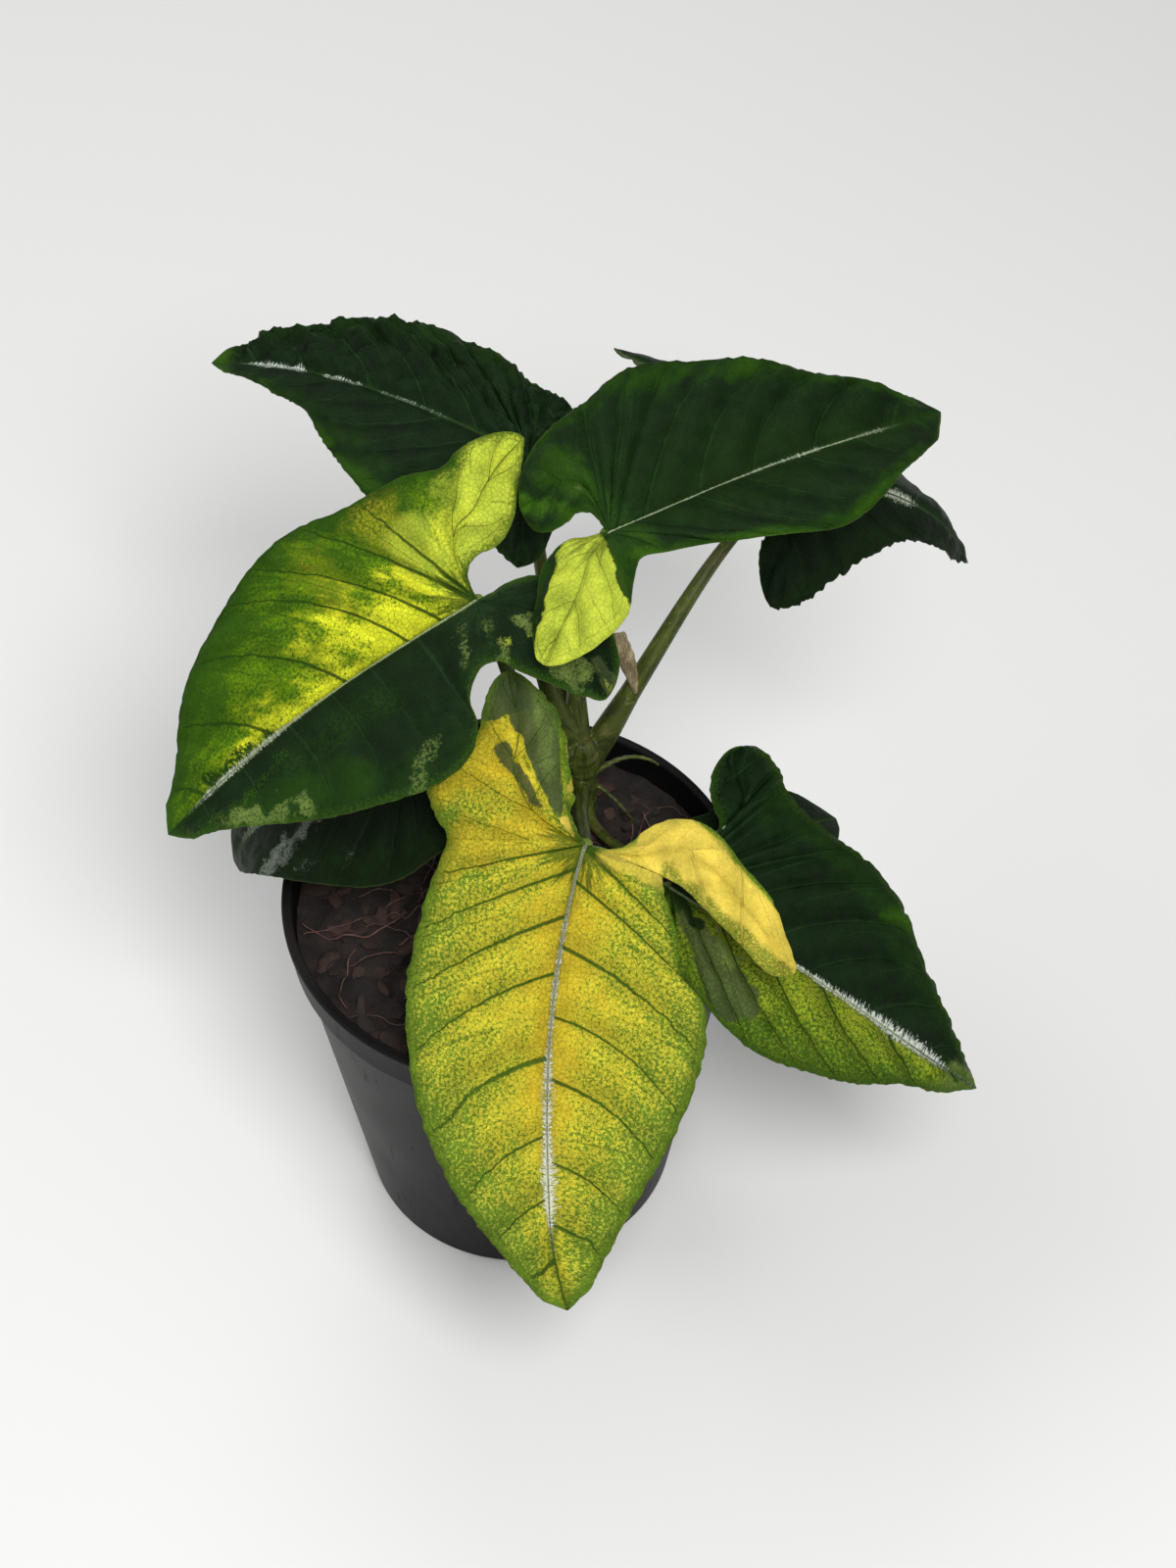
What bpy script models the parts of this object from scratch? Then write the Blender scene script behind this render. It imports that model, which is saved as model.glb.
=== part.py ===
"""Arrowhead plant in its round nursery pot.

The pot's underside lies on Z = 0 with its centre at the origin, +Z is up and the front of the
plant faces -Y. A short stem stands in a hole in the soil, a little right of and behind the middle.
Each leaf is a thin blade on a petiole of its own, which leaves the stem and ends under the blade.

A blade starts as a flat arrowhead, drawn in millimetres: v runs from the petiole's seat along
the midrib to the tip, u to the right of it. Ribs run forward from the midrib and from the middle
of each basal lobe to the margin, and the flat sheet is then rolled over a few straight lines,
which gives the fold along the midrib, the droop towards the tip and the hang of the lobes.
"""
import math
from dataclasses import dataclass

import bmesh
import bpy
import numpy as np
from mathutils import Matrix

MM = 0.001
GAP = 0.3 * MM                 # left between pieces that touch

POT_HEIGHT = 140 * MM
RIM_RADIUS = 74 * MM
COLLAR_RADIUS = 72.5 * MM
COLLAR_DEPTH = 15 * MM
WALL_TOP_RADIUS = 70 * MM
BASE_RADIUS = 53 * MM
WALL = 1.8 * MM
FLOOR = 2.5 * MM
POT_SIDES = 56
DRAIN_COUNT = 8
DRAIN_RADIUS = 4.5 * MM
DRAIN_CIRCLE = 41 * MM

SOIL_TOP = 127 * MM
SOIL_BUMP = 2.2 * MM
SOIL_RINGS = 8
SOIL_SIDES = 40

STEM_FOOT = (22 * MM, 42 * MM)
STEM_RADIUS = 4.9 * MM
STEM_DEPTH = 22 * MM           # below the soil's level
STEM_TOP = 164 * MM

BLADE = 0.8 * MM               # thickness
MAIN_STATIONS = 15             # along each side of the main lobe
LOBE_STATIONS = 5              # along each edge of a basal lobe
ACROSS = 3                     # from midrib to margin
PETIOLE_SIDES = 8
PETIOLE_SPANS = 11

SHEATH_LEAF = "far_right"      # the dry sheath leans on this leaf's petiole
SHEATH_AT = 0.26               # of the petiole's length from the stem
SHEATH_OFFSET = (1.6, -3.4, 3.2)
SHEATH_RISE = (-7, 9, 19)
SHEATH_ACROSS = (0.93, -0.25, 0.26)
SHEATH_SPANS = 10


@dataclass(frozen=True)
class Bend:
    """A roll of the sheet over the line through `at` square to `toward`.

    toward is 0 for the tip, 90 for the right, 180 for the base and 270 for the left. What lies
    beyond the line turns by `angle` degrees, up if positive, over `length` mm, and goes on
    straight after it. side 1 or -1 keeps the roll to the right or left half.
    """
    at: tuple
    toward: float
    length: float
    angle: float
    side: int = 0


@dataclass(frozen=True)
class Half:
    """One side of the flat outline, from the petiole's seat round to the leaf's tip, in mm."""
    inner: tuple               # along the notch to the basal lobe's tip
    outer: tuple               # on to the sinus
    main: tuple                # on to the leaf's tip


@dataclass(frozen=True)
class Leaf:
    """A leaf: where its blade is seated, how it faces, its outline, rolls, waves and petiole."""
    name: str
    seat: tuple                # blade and petiole meet here, in mm
    heading: float             # of the midrib: 0 is +Y, 90 is +X
    pitch: float               # of the midrib at the seat, up if positive
    roll: float                # lifts the right half if positive
    right: Half
    left: Half
    bends: tuple
    wave: tuple                # height in mm and number of waves on each side
    colour: tuple
    leaves_stem_at: float      # height in mm
    leaves_stem: tuple         # direction in which the petiole sets off
    reach: tuple               # how far the petiole keeps its direction at the stem and the blade
    sheath: float              # length of the petiole's foot that is grown to the stem
    thick: tuple = (2.6, 1.7)  # petiole's radius at the stem and at the blade, in mm
    seat_drop: float = 0.85    # from the blade's middle surface to the petiole's end
    arrives: tuple = None      # direction in which the petiole ends, or None for straight up to it


def folds(right, left, camber_right=-12, camber_left=-12, width=32):
    """Rolls that fold a blade at its midrib and let its halves curve down to the margin."""
    return (
        Bend((2, 0), 90, width, camber_right, 1),
        Bend((-2, 0), 270, width, camber_left, -1),
        Bend((0, 0), 90, 4, right, 1),
        Bend((0, 0), 270, 4, left, -1),
    )


def mirrored(half):
    """The same outline on the other side of the midrib."""
    return Half(*(tuple((-u, v) for u, v in edge) for edge in (half.inner, half.outer, half.main)))


YELLOW = (0.56, 0.50, 0.09, 1)
LIME = (0.30, 0.42, 0.05, 1)
DARK = (0.035, 0.10, 0.035, 1)
MID_GREEN = (0.05, 0.15, 0.04, 1)
PETIOLE_GREEN = (0.16, 0.22, 0.07, 1)

YOUNG_HALF = Half(
    inner=((0, 0), (6, -5), (11, -10), (15, -12)),
    outer=((18, -8), (18, -3), (17, 2)),
    main=((19, 10), (19, 20), (14, 32), (6, 41), (0, 46)),
)
BACK_HALF = Half(
    inner=((0, 0), (5, -12), (12, -21), (22, -26), (29, -24)),
    outer=((34, -15), (34, -5), (32, 4)),
    main=((35, 16), (36, 30), (32, 48), (24, 66), (13, 84), (0, 100)),
)
LEAVES = (
    Leaf(
        "front", (23, -18, 185), 183, -35, 0,
        right=Half(
            inner=((0, 0), (5, -9), (4, -16), (6, -24), (7, -32), (11, -41), (19, -49), (26, -52)),
            outer=((32, -45), (34, -34), (39, -27), (47, -20), (49, -13), (45, -6), (42, 0)),
            main=((48, 18), (52, 45), (49, 76), (39, 101), (24, 122), (9, 137), (0, 144)),
        ),
        left=Half(
            inner=((0, 0), (-7, 1), (-12, 0), (-21, -7), (-31, -9), (-39, -6), (-48, 4), (-57, 14),
                   (-62, 26), (-65, 36)),
            outer=((-58, 37), (-48, 28), (-38, 19), (-29, 11), (-24, 9)),
            main=((-29, 26), (-31, 38), (-38, 47), (-39, 58), (-32, 84), (-17, 112), (-5, 134),
                  (0, 144)),
        ),
        bends=(Bend((0, 45), 0, 95, -22),) + folds(12, 12, -14, -14, 30),
        wave=(1.2, 5), colour=YELLOW,
        leaves_stem_at=143, leaves_stem=(-0.1, -0.9, 0.45), reach=(18, 18), sheath=9,
    ),
    Leaf(
        "left", (-10, 36, 236), 245, -22, 12,
        right=Half(
            inner=((0, 0), (8, -2), (12, -7), (11, -14), (15, -22), (23, -30), (29, -36), (34, -39)),
            outer=((39, -36), (44, -29), (46, -20), (44, -12), (48, -2), (49, 5)),
            main=((51, 20), (54, 37), (50, 59), (40, 81), (26, 98), (10, 112), (0, 123)),
        ),
        left=Half(
            inner=((0, 0), (-1, -11), (-3, -18), (-9, -26), (-20, -31), (-34, -30), (-46, -25),
                   (-52, -17)),
            outer=((-47, -11), (-39, -6), (-30, 0), (-23, 4)),
            main=((-22, 9), (-29, 17), (-37, 19), (-44, 26), (-46, 40), (-39, 62), (-28, 82),
                  (-17, 98), (-7, 111), (0, 123)),
        ),
        bends=(Bend((0, 30), 0, 90, -24), Bend((0, -6), 180, 30, 14, 1),
               Bend((0, -6), 180, 30, -32, -1)) + folds(12, 12, -14, -14, 35),
        wave=(1.0, 5), colour=LIME,
        leaves_stem_at=150, leaves_stem=(-0.58, -0.18, 0.8), reach=(40, 26), sheath=24, thick=(3.4, 1.8),
    ),
    Leaf(
        "upper_right", (30, 46, 255), 62, 5, -15,
        right=Half(
            inner=((0, 0), (2, -10), (3, -17), (5, -24), (9, -31), (14, -36), (20, -40), (26, -41)),
            outer=((32, -37), (35, -30), (36, -22), (34, -12), (24, -4), (16, 3)),
            main=((17, 10), (20, 20), (28, 33), (34, 50), (35, 62), (30, 77), (16, 97), (4, 114),
                  (0, 123)),
        ),
        left=Half(
            inner=((0, 0), (-7, -2), (-9, -6), (-8, -11), (-8, -16), (-12, -20), (-20, -20)),
            outer=((-29, -15), (-36, -5), (-41, 6), (-43, 14)),
            main=((-46, 26), (-46, 38), (-42, 52), (-36, 66), (-27, 82), (-17, 98), (-8, 111),
                  (0, 123)),
        ),
        bends=(Bend((0, 30), 0, 90, -24), Bend((0, -5), 180, 30, -38, 1),
               Bend((0, -4), 180, 26, -40, -1)) + folds(26, 10, -10, -14, 35),
        wave=(1.2, 5), colour=MID_GREEN,
        leaves_stem_at=154, leaves_stem=(-0.42, 0.2, 0.88), reach=(80, 14), sheath=30,
        thick=(3.6, 2.2), seat_drop=1.6,
    ),
    Leaf(
        "upper_left", (5, 99, 236), 300, 1, 6,
        right=Half(
            inner=((0, 0), (7, -5), (13, -7), (18, -7), (22, -3)),
            outer=((24, 5), (26, 14), (29, 24)),
            main=((31, 35), (32, 50), (31, 66), (26, 84), (18, 104), (9, 119), (0, 128)),
        ),
        left=Half(
            inner=((0, 0), (-6, -12), (-15, -19), (-26, -23), (-36, -24), (-41, -20)),
            outer=((-38, -10), (-34, 1), (-34, 10)),
            main=((-39, 20), (-40, 34), (-33, 49), (-25, 62), (-17, 73), (-12, 84), (-7, 99),
                  (-3, 114), (0, 128)),
        ),
        bends=(Bend((0, 30), 0, 90, -24), Bend((0, -6), 180, 30, -24)) + folds(10, 10, -14, -14, 35),
        wave=(1.0, 6), colour=DARK,
        leaves_stem_at=152, leaves_stem=(-0.3, 0.75, 0.75), reach=(40, 26), sheath=24, thick=(3.2, 1.8),
    ),
    Leaf(
        "right", (49, -13, 158), 112, -21, -15,
        right=Half(
            inner=((0, 0), (5, -10), (11, -17), (19, -19)),
            outer=((26, -13), (28, -3), (28, 8)),
            main=((32, 20), (37, 36), (38, 50), (34, 65), (24, 83), (13, 97), (4, 110), (0, 122)),
        ),
        left=Half(
            inner=((0, 0), (-12, 2), (-21, 5), (-27, 4), (-33, -2), (-41, -5), (-49, -4), (-54, 0)),
            outer=((-56, 6), (-54, 13), (-49, 18)),
            main=((-44, 28), (-42, 40), (-42, 52), (-36, 66), (-21, 87), (-10, 102), (-4, 112),
                  (0, 122)),
        ),
        bends=(Bend((0, 30), 0, 90, -24), Bend((0, -6), 180, 30, -15)) + folds(24, 10, -10, -14, 35),
        wave=(1.0, 5), colour=MID_GREEN,
        leaves_stem_at=137, leaves_stem=(-0.22, -0.96, 0.16), reach=(40, 22), sheath=9,
        thick=(2.4, 1.6), seat_drop=1.2,
    ),
    Leaf(
        "far_right", (90, 96, 230), 93, -5, -18,
        right=Half(
            inner=((0, 0), (9, -4), (17, -9), (27, -13), (38, -12)),
            outer=((43, -4), (40, 6), (34, 14)),
            main=((28, 22), (20, 31), (13, 42), (9, 56), (6, 73), (0, 88)),
        ),
        left=Half(
            inner=((0, 0), (-8, -6), (-14, -15), (-20, -21), (-28, -22)),
            outer=((-34, -14), (-35, -5), (-33, 3)),
            main=((-34, 14), (-32, 27), (-28, 41), (-21, 55), (-13, 69), (-5, 80), (0, 88)),
        ),
        bends=folds(-18, -34, -14, -18, 30) + (
            Bend((0, 8), 0, 60, -66), Bend((0, -4), 180, 22, -50, 1),
            Bend((0, -6), 180, 30, -20, -1)),
        wave=(1.0, 5), colour=DARK,
        leaves_stem_at=150, leaves_stem=(0.56, 0.40, 0.90), reach=(70, 30), sheath=30,
        thick=(4.2, 1.5), seat_drop=2.2, arrives=(0.8, 0.3, 0.5),
    ),
    Leaf(
        "lower_left", (-33, 24, 178), 262, -24, 12,
        right=Half(
            inner=((0, 0), (8, -10), (16, -14), (23, -12)),
            outer=((30, -6), (34, 3), (35, 12)),
            main=((38, 22), (34, 36), (27, 49), (17, 62), (8, 73), (0, 80)),
        ),
        left=Half(
            inner=((0, 0), (-7, -10), (-15, -15), (-25, -16)),
            outer=((-32, -14), (-37, -8), (-39, -2)),
            main=((-41, 8), (-40, 20), (-36, 31), (-29, 43), (-20, 56), (-11, 68), (0, 80)),
        ),
        bends=(Bend((0, 34), 0, 48, -58), Bend((0, -6), 180, 30, -20)) + folds(10, 10, -14, -14, 35),
        wave=(1.0, 4), colour=DARK,
        leaves_stem_at=147, leaves_stem=(-0.85, -0.15, 0.45), reach=(22, 18), sheath=10,
    ),
    Leaf(
        "low_right", (70, 8, 148), 55, -6, -6,
        right=YOUNG_HALF,
        left=mirrored(YOUNG_HALF),
        bends=(Bend((0, 12), 0, 34, -30), Bend((0, -3), 180, 12, 8)) + folds(8, 8, -10, -10, 16),
        wave=(0.5, 3), colour=DARK,
        leaves_stem_at=133, leaves_stem=(0.25, -0.97, 0.0), reach=(34, 9), sheath=9,
        thick=(2.0, 1.2), seat_drop=1.4,
    ),
    Leaf(
        "back", (67, 137, 232), 18, -46, 0,
        right=BACK_HALF,
        left=mirrored(BACK_HALF),
        bends=(Bend((0, 30), 0, 70, -22), Bend((0, -6), 180, 30, -12)) + folds(10, 10, -12, -12, 30),
        wave=(1.0, 5), colour=DARK,
        leaves_stem_at=154, leaves_stem=(-0.14, 0.35, 0.92), reach=(90, 30), sheath=28,
        thick=(3.2, 1.7),
    ),
)


def smooth_through(points, steps=16):
    """Points along a smooth curve through the given ones, `steps` to each stretch."""
    p = np.array(points, float)
    p = np.vstack([2 * p[0] - p[1], p, 2 * p[-1] - p[-2]])
    knots = np.concatenate([[0], np.cumsum(np.sqrt(np.linalg.norm(np.diff(p, axis=0), axis=1)))])
    out = []
    for i in range(1, len(p) - 2):
        a, b, c, d = knots[i - 1:i + 3]
        t = np.linspace(b, c, steps, endpoint=False)[:, None]
        ab = ((b - t) * p[i - 1] + (t - a) * p[i]) / (b - a)
        bc = ((c - t) * p[i] + (t - b) * p[i + 1]) / (c - b)
        cd = ((d - t) * p[i + 1] + (t - c) * p[i + 2]) / (d - c)
        abc = ((c - t) * ab + (t - a) * bc) / (c - a)
        bcd = ((d - t) * bc + (t - b) * cd) / (d - b)
        out.append(((c - t) * abc + (t - b) * bcd) / (c - b))
    return np.vstack(out + [p[-2:-1]])


def along_curve(curve, parts):
    """Points of a curve at the given fractions of its length."""
    run = np.concatenate([[0], np.cumsum(np.linalg.norm(np.diff(curve, axis=0), axis=1))])
    at = np.array(parts) * run[-1]
    return np.stack([np.interp(at, run, curve[:, i]) for i in range(curve.shape[1])], 1)


def half_edges(half, steps=16):
    """The three edges of a half as dense curves: notch to lobe tip, to sinus, to leaf tip."""
    curve = smooth_through(half.inner + half.outer + half.main, steps)
    lobe = steps * (len(half.inner) - 1)
    sinus = lobe + steps * len(half.outer)
    return curve[:lobe + 1], curve[lobe:sinus + 1], curve[sinus:]


def rib_points(foot, margin, across, wide):
    """Points on ribs that leave their feet `wide` degrees off their chords and curve back."""
    chord = margin - foot
    turn = np.radians(wide)
    wide = np.stack([chord[:, 0] * np.cos(turn) + chord[:, 1] * np.sin(turn),
                     chord[:, 1] * np.cos(turn) - chord[:, 0] * np.sin(turn)], 1)
    t = np.linspace(0, 1, across + 1)[None, :, None]
    middle = (foot + 0.5 * wide)[:, None, :]
    return (1 - t) ** 2 * foot[:, None, :] + 2 * t * (1 - t) * middle + t ** 2 * margin[:, None, :]


def half_panels(half, side, main_stations, lobe_stations, across):
    """Flat grids of one half: main lobe, outer edge and inner edge of the basal lobe.

    Each has a row for each rib, from its foot to the margin, and the way along the margin from
    the notch to the leaf's tip as a fraction, for the waves.
    """
    inner, outer, main = half_edges(half)
    length = main[-1, 1]
    lengths = [np.linalg.norm(np.diff(edge, axis=0), axis=1).sum() for edge in (inner, outer, main)]
    whole = sum(lengths)

    rows = 1 - (1 - np.linspace(0, 1, main_stations + 1)) ** 1.25
    feet = np.stack([0 * rows, length * rows ** 1.25], 1)
    lean = 12 * side * (1 - (1 - rows) ** 4)
    grids = [(rib_points(feet, along_curve(main, rows), across, lean),
              (lengths[0] + lengths[1] + lengths[2] * rows) / whole)]

    rows = np.linspace(0, 1, lobe_stations + 1)
    near, far = along_curve(inner, rows), along_curve(outer[::-1], rows)
    middle = near + 0.5 * (1 - (1 - rows[:, None]) ** 4) * (far - near)
    grids.append((rib_points(middle, far, across, 0 * rows),
                  (lengths[0] + lengths[1] * (1 - rows)) / whole))
    grids.append((rib_points(middle, near, across, 0 * rows), lengths[0] * rows / whole))
    return grids


def halved(corners, turned):
    """The two triangles of a flat quad, cut along the diagonal that leaves neither of them folded."""
    def smaller(pair):
        areas = [np.cross(corners[j] - corners[i], corners[k] - corners[i]) for i, j, k in pair]
        return min(-a if turned else a for a in areas)
    return max((((0, 1, 2), (0, 2, 3)), ((0, 1, 3), (1, 2, 3))), key=smaller)


def roll_sheet(points, flat, sides, bend):
    """Apply one roll to points of the sheet, given their flat places and their halves."""
    turn = math.radians(bend.toward)
    way = np.array([math.sin(turn), math.cos(turn)])
    beyond = (flat - np.array(bend.at)) @ way
    if bend.side:
        beyond = np.where(sides * bend.side > 0, beyond, 0.0)
    rolled = np.clip(beyond, 0.0, bend.length)
    radius = bend.length / math.radians(bend.angle)
    angle = rolled / radius
    along = (points[:, :2] - np.array(bend.at)) @ way
    rest = along - rolled
    height = points[:, 2]
    new_along = radius * np.sin(angle) + rest * np.cos(angle) - height * np.sin(angle)
    new_height = radius * (1 - np.cos(angle)) + rest * np.sin(angle) + height * np.cos(angle)
    moved = beyond > 0
    out = points.copy()
    out[:, :2] += np.where(moved, new_along - along, 0.0)[:, None] * way
    out[:, 2] = np.where(moved, new_height, height)
    return out


def facing(leaf):
    """Matrix whose columns are the leaf's right, forward and upward directions."""
    heading, pitch, roll = (math.radians(a) for a in (leaf.heading, leaf.pitch, leaf.roll))
    forward = np.array([math.sin(heading) * math.cos(pitch), math.cos(heading) * math.cos(pitch),
                        math.sin(pitch)])
    level = np.array([math.cos(heading), -math.sin(heading), 0.0])
    right = math.cos(roll) * level + math.sin(roll) * np.cross(level, forward)
    return np.stack([right, forward, np.cross(right, forward)], 1)


def sheet(leaf, main_stations, lobe_stations, across):
    """Middle surface of a blade, about its seat, as points in metres and triangles that face up."""
    flat, sides, lift, faces = [], [], [], []
    for side, half in ((1, leaf.right), (-1, leaf.left)):
        for kind, (grid, along) in enumerate(
                half_panels(half, side, main_stations, lobe_stations, across)):
            first = len(flat)
            rows, cols = grid.shape[:2]
            part = np.linspace(0, 1, cols)
            height, count = leaf.wave
            swell = height * np.sin(2 * math.pi * count * along + side)[:, None] * part ** 2
            if kind == 0:
                swell[-1] = 0.0
            flat.extend(grid.reshape(-1, 2))
            lift.extend(swell.reshape(-1))
            sides.extend([side] * (rows * cols))
            for i in range(rows - 1):
                for j in range(cols - 1):
                    a = first + i * cols + j
                    quad = (a, a + 1, a + cols + 1, a + cols)
                    corners = (grid[i, j], grid[i, j + 1], grid[i + 1, j + 1], grid[i + 1, j])
                    turned = (kind == 1) != (side == -1)
                    for tri in halved(corners, turned):
                        tri = tuple(quad[k] for k in tri)
                        faces.append(tri[::-1] if turned else tri)
    flat, sides, lift = np.array(flat), np.array(sides), np.array(lift)
    flat, sides, lift, faces = joined(flat, sides, lift, faces)
    points = np.column_stack([flat, lift])
    for bend in leaf.bends:
        points = roll_sheet(points, flat, sides, bend)
    return points * MM, faces


def joined(flat, sides, lift, faces):
    """Merge points that share a flat place on one half or on the midrib, and drop thin faces."""
    keys, index, keep = {}, [], []
    for i, (place, side) in enumerate(zip(np.round(flat, 3).tolist(), sides)):
        key = (place[0], place[1], 0 if abs(place[0]) < 1e-6 and place[1] >= 0 else int(side))
        if key not in keys:
            keys[key] = len(keep)
            keep.append(i)
        index.append(keys[key])
    out = []
    for tri in faces:
        tri = tuple(index[i] for i in tri)
        if len(set(tri)) == 3:
            out.append(tri)
    return flat[keep], sides[keep], lift[keep], out


def solid_sheet(points, faces, thickness):
    """Points and faces of a sheet with the same triangles above and below and a closed edge."""
    points, tris = np.array(points), np.array(faces)
    corners = points[tris]
    normal = np.cross(corners[:, 1] - corners[:, 0], corners[:, 2] - corners[:, 0])
    at_point = np.zeros_like(points)
    for k in range(3):
        np.add.at(at_point, tris[:, k], normal)
    at_point /= np.linalg.norm(at_point, axis=1)[:, None]
    count = len(points)
    both = np.vstack([points + at_point * thickness / 2, points - at_point * thickness / 2])
    below = tris[:, ::-1] + count
    edges = {}
    for a, b, c in tris.tolist():
        for e in ((a, b), (b, c), (c, a)):
            edges[e] = True
    walls = []
    for a, b in edges:
        if (b, a) not in edges:
            walls += [(a, a + count, b + count), (a, b + count, b)]
    return both, tris.tolist() + below.tolist() + walls


def material(name, colour, roughness):
    """A Principled BSDF of one colour."""
    made = bpy.data.materials.new(name)
    made.use_nodes = True
    shader = made.node_tree.nodes["Principled BSDF"]
    shader.inputs["Base Color"].default_value = colour
    shader.inputs["Roughness"].default_value = roughness
    shader.inputs["Metallic"].default_value = 0.0
    return made


def add_object(name, points, faces, colour, roughness):
    """A named object from points and faces, shaded smooth but for sharp edges."""
    mesh = bpy.data.meshes.new(name)
    mesh.from_pydata([tuple(p) for p in points], [], faces)
    mesh.validate()
    made = bpy.data.objects.new(name, mesh)
    bpy.context.scene.collection.objects.link(made)
    mesh.materials.append(material(name, colour, roughness))
    mesh.shade_smooth()
    mesh.set_sharp_from_angle(angle=math.radians(40))
    return made


def capped(profile, sides, centre=(0.0, 0.0)):
    """Points and faces of an open profile, top to bottom, turned and closed by two flat ends."""
    angles = np.linspace(0, 2 * math.pi, sides, endpoint=False)
    points = [(centre[0] + r * math.cos(a), centre[1] + r * math.sin(a), z)
              for r, z in profile for a in angles]
    faces = [tuple(range(sides))]
    for j in range(len(profile) - 1):
        for i in range(sides):
            k = (i + 1) % sides
            faces.append((j * sides + i, (j + 1) * sides + i, (j + 1) * sides + k, j * sides + k))
    last = (len(profile) - 1) * sides
    faces.append(tuple(last + i for i in reversed(range(sides))))
    return points, faces


def tube(path, radii, sides):
    """Points and faces of a round tube of changing radius along a path, with flat ends."""
    path = np.array(path, float)
    tangent = np.gradient(path, axis=0)
    tangent /= np.linalg.norm(tangent, axis=1)[:, None]
    side = np.cross(tangent[0], (0.3, 0.2, -1.0))
    points = []
    for centre, along, radius in zip(path, tangent, radii):
        side = side - along * (side @ along)
        side /= np.linalg.norm(side)
        other = np.cross(along, side)
        for k in range(sides):
            a = 2 * math.pi * k / sides
            points.append(tuple(centre + radius * (math.cos(a) * side + math.sin(a) * other)))
    faces = [tuple(reversed(range(sides)))]
    for j in range(len(path) - 1):
        for k in range(sides):
            m = (k + 1) % sides
            faces.append((j * sides + k, j * sides + m, (j + 1) * sides + m, (j + 1) * sides + k))
    last = (len(path) - 1) * sides
    faces.append(tuple(last + k for k in range(sides)))
    return points, faces


def bezier(start, start_to, end_from, end, count):
    """count + 1 points of a cubic curve from its two ends and two handles."""
    t = np.linspace(0, 1, count + 1)[:, None]
    a, b, c, d = (np.array(p, float) for p in (start, start_to, end_from, end))
    return (1 - t) ** 3 * a + 3 * t * (1 - t) ** 2 * b + 3 * t ** 2 * (1 - t) * c + t ** 3 * d


def cut(target, cutter, solver="EXACT"):
    """Take one object's space out of another, then remove the cutter."""
    boolean = target.modifiers.new("cut", "BOOLEAN")
    boolean.operation = "DIFFERENCE"
    boolean.solver = solver
    boolean.object = cutter
    apply_modifiers(target)
    bpy.data.objects.remove(cutter)


def unite(target, others, solver="EXACT"):
    """Join a collection of objects to a target as one body, then remove them."""
    group = bpy.data.collections.new("joined")
    bpy.context.scene.collection.children.link(group)
    for other in others:
        group.objects.link(other)
    boolean = target.modifiers.new("union", "BOOLEAN")
    boolean.operation = "UNION"
    boolean.operand_type = "COLLECTION"
    boolean.solver = solver
    boolean.collection = group
    apply_modifiers(target)
    for other in others:
        bpy.data.objects.remove(other)
    bpy.data.collections.remove(group)


def apply_modifiers(target):
    """Keep what the modifiers make as the object's own mesh."""
    seen = target.evaluated_get(bpy.context.evaluated_depsgraph_get())
    made = bpy.data.meshes.new_from_object(seen)
    target.modifiers.clear()
    old = target.data
    target.data = made
    bpy.data.meshes.remove(old)
    made.name = target.name


def make_guide(name, points, faces):
    """A cutter or a piece to join, which has no looks of its own."""
    made = add_object(name, points, faces, (0.5, 0.5, 0.5, 1), 0.5)
    made.hide_render = True
    made.display_type = "WIRE"
    return made


def wall_radius(height):
    """Outer radius of the pot's tapered wall at a height."""
    part = height / (POT_HEIGHT - COLLAR_DEPTH)
    return BASE_RADIUS + (WALL_TOP_RADIUS - BASE_RADIUS) * part


def add_pot():
    """The round pot: tapered wall, stepped collar with a rolled rim, and a floor with drains."""
    collar = POT_HEIGHT - COLLAR_DEPTH
    top = POT_HEIGHT
    inside = COLLAR_RADIUS - WALL
    profile = [
        (0.0, 0.0), (BASE_RADIUS - 2 * MM, 0.0), (BASE_RADIUS, 2 * MM),
        (wall_radius(collar), collar), (COLLAR_RADIUS, collar + 1.2 * MM),
        (COLLAR_RADIUS, top - 3.4 * MM), (RIM_RADIUS, top - 2.4 * MM), (RIM_RADIUS, top - 0.8 * MM),
        (RIM_RADIUS - 1 * MM, top), (inside + 0.6 * MM, top), (inside, top - 1 * MM),
        (inside, collar + 2.4 * MM), (wall_radius(collar) - WALL, collar + 0.8 * MM),
        (BASE_RADIUS - WALL, FLOOR + 2 * MM), (BASE_RADIUS - WALL - 2 * MM, FLOOR), (0.0, FLOOR),
    ]
    shell = bmesh.new()
    line = [shell.verts.new((r, 0, z)) for r, z in profile]
    for a, b in zip(line, line[1:]):
        shell.edges.new((a, b))
    bmesh.ops.spin(shell, geom=shell.verts[:] + shell.edges[:], axis=(0, 0, 1), cent=(0, 0, 0),
                   steps=POT_SIDES, angle=2 * math.pi)
    bmesh.ops.remove_doubles(shell, verts=shell.verts, dist=0.00002)
    bmesh.ops.recalc_face_normals(shell, faces=shell.faces)
    mesh = bpy.data.meshes.new("pot")
    shell.to_mesh(mesh)
    shell.free()
    pot = bpy.data.objects.new("pot", mesh)
    bpy.context.scene.collection.objects.link(pot)
    mesh.materials.append(material("pot", (0.012, 0.012, 0.013, 1), 0.5))
    for k in range(DRAIN_COUNT):
        angle = 2 * math.pi * (k + 0.5) / DRAIN_COUNT
        centre = (DRAIN_CIRCLE * math.cos(angle), DRAIN_CIRCLE * math.sin(angle))
        points, faces = capped([(DRAIN_RADIUS, 10 * MM), (DRAIN_RADIUS, -5 * MM)], 12, centre)
        cut(pot, make_guide(f"drain_{k}", points, faces))
    pot.data.shade_smooth()
    pot.data.set_sharp_from_angle(angle=math.radians(35))
    return pot


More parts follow.
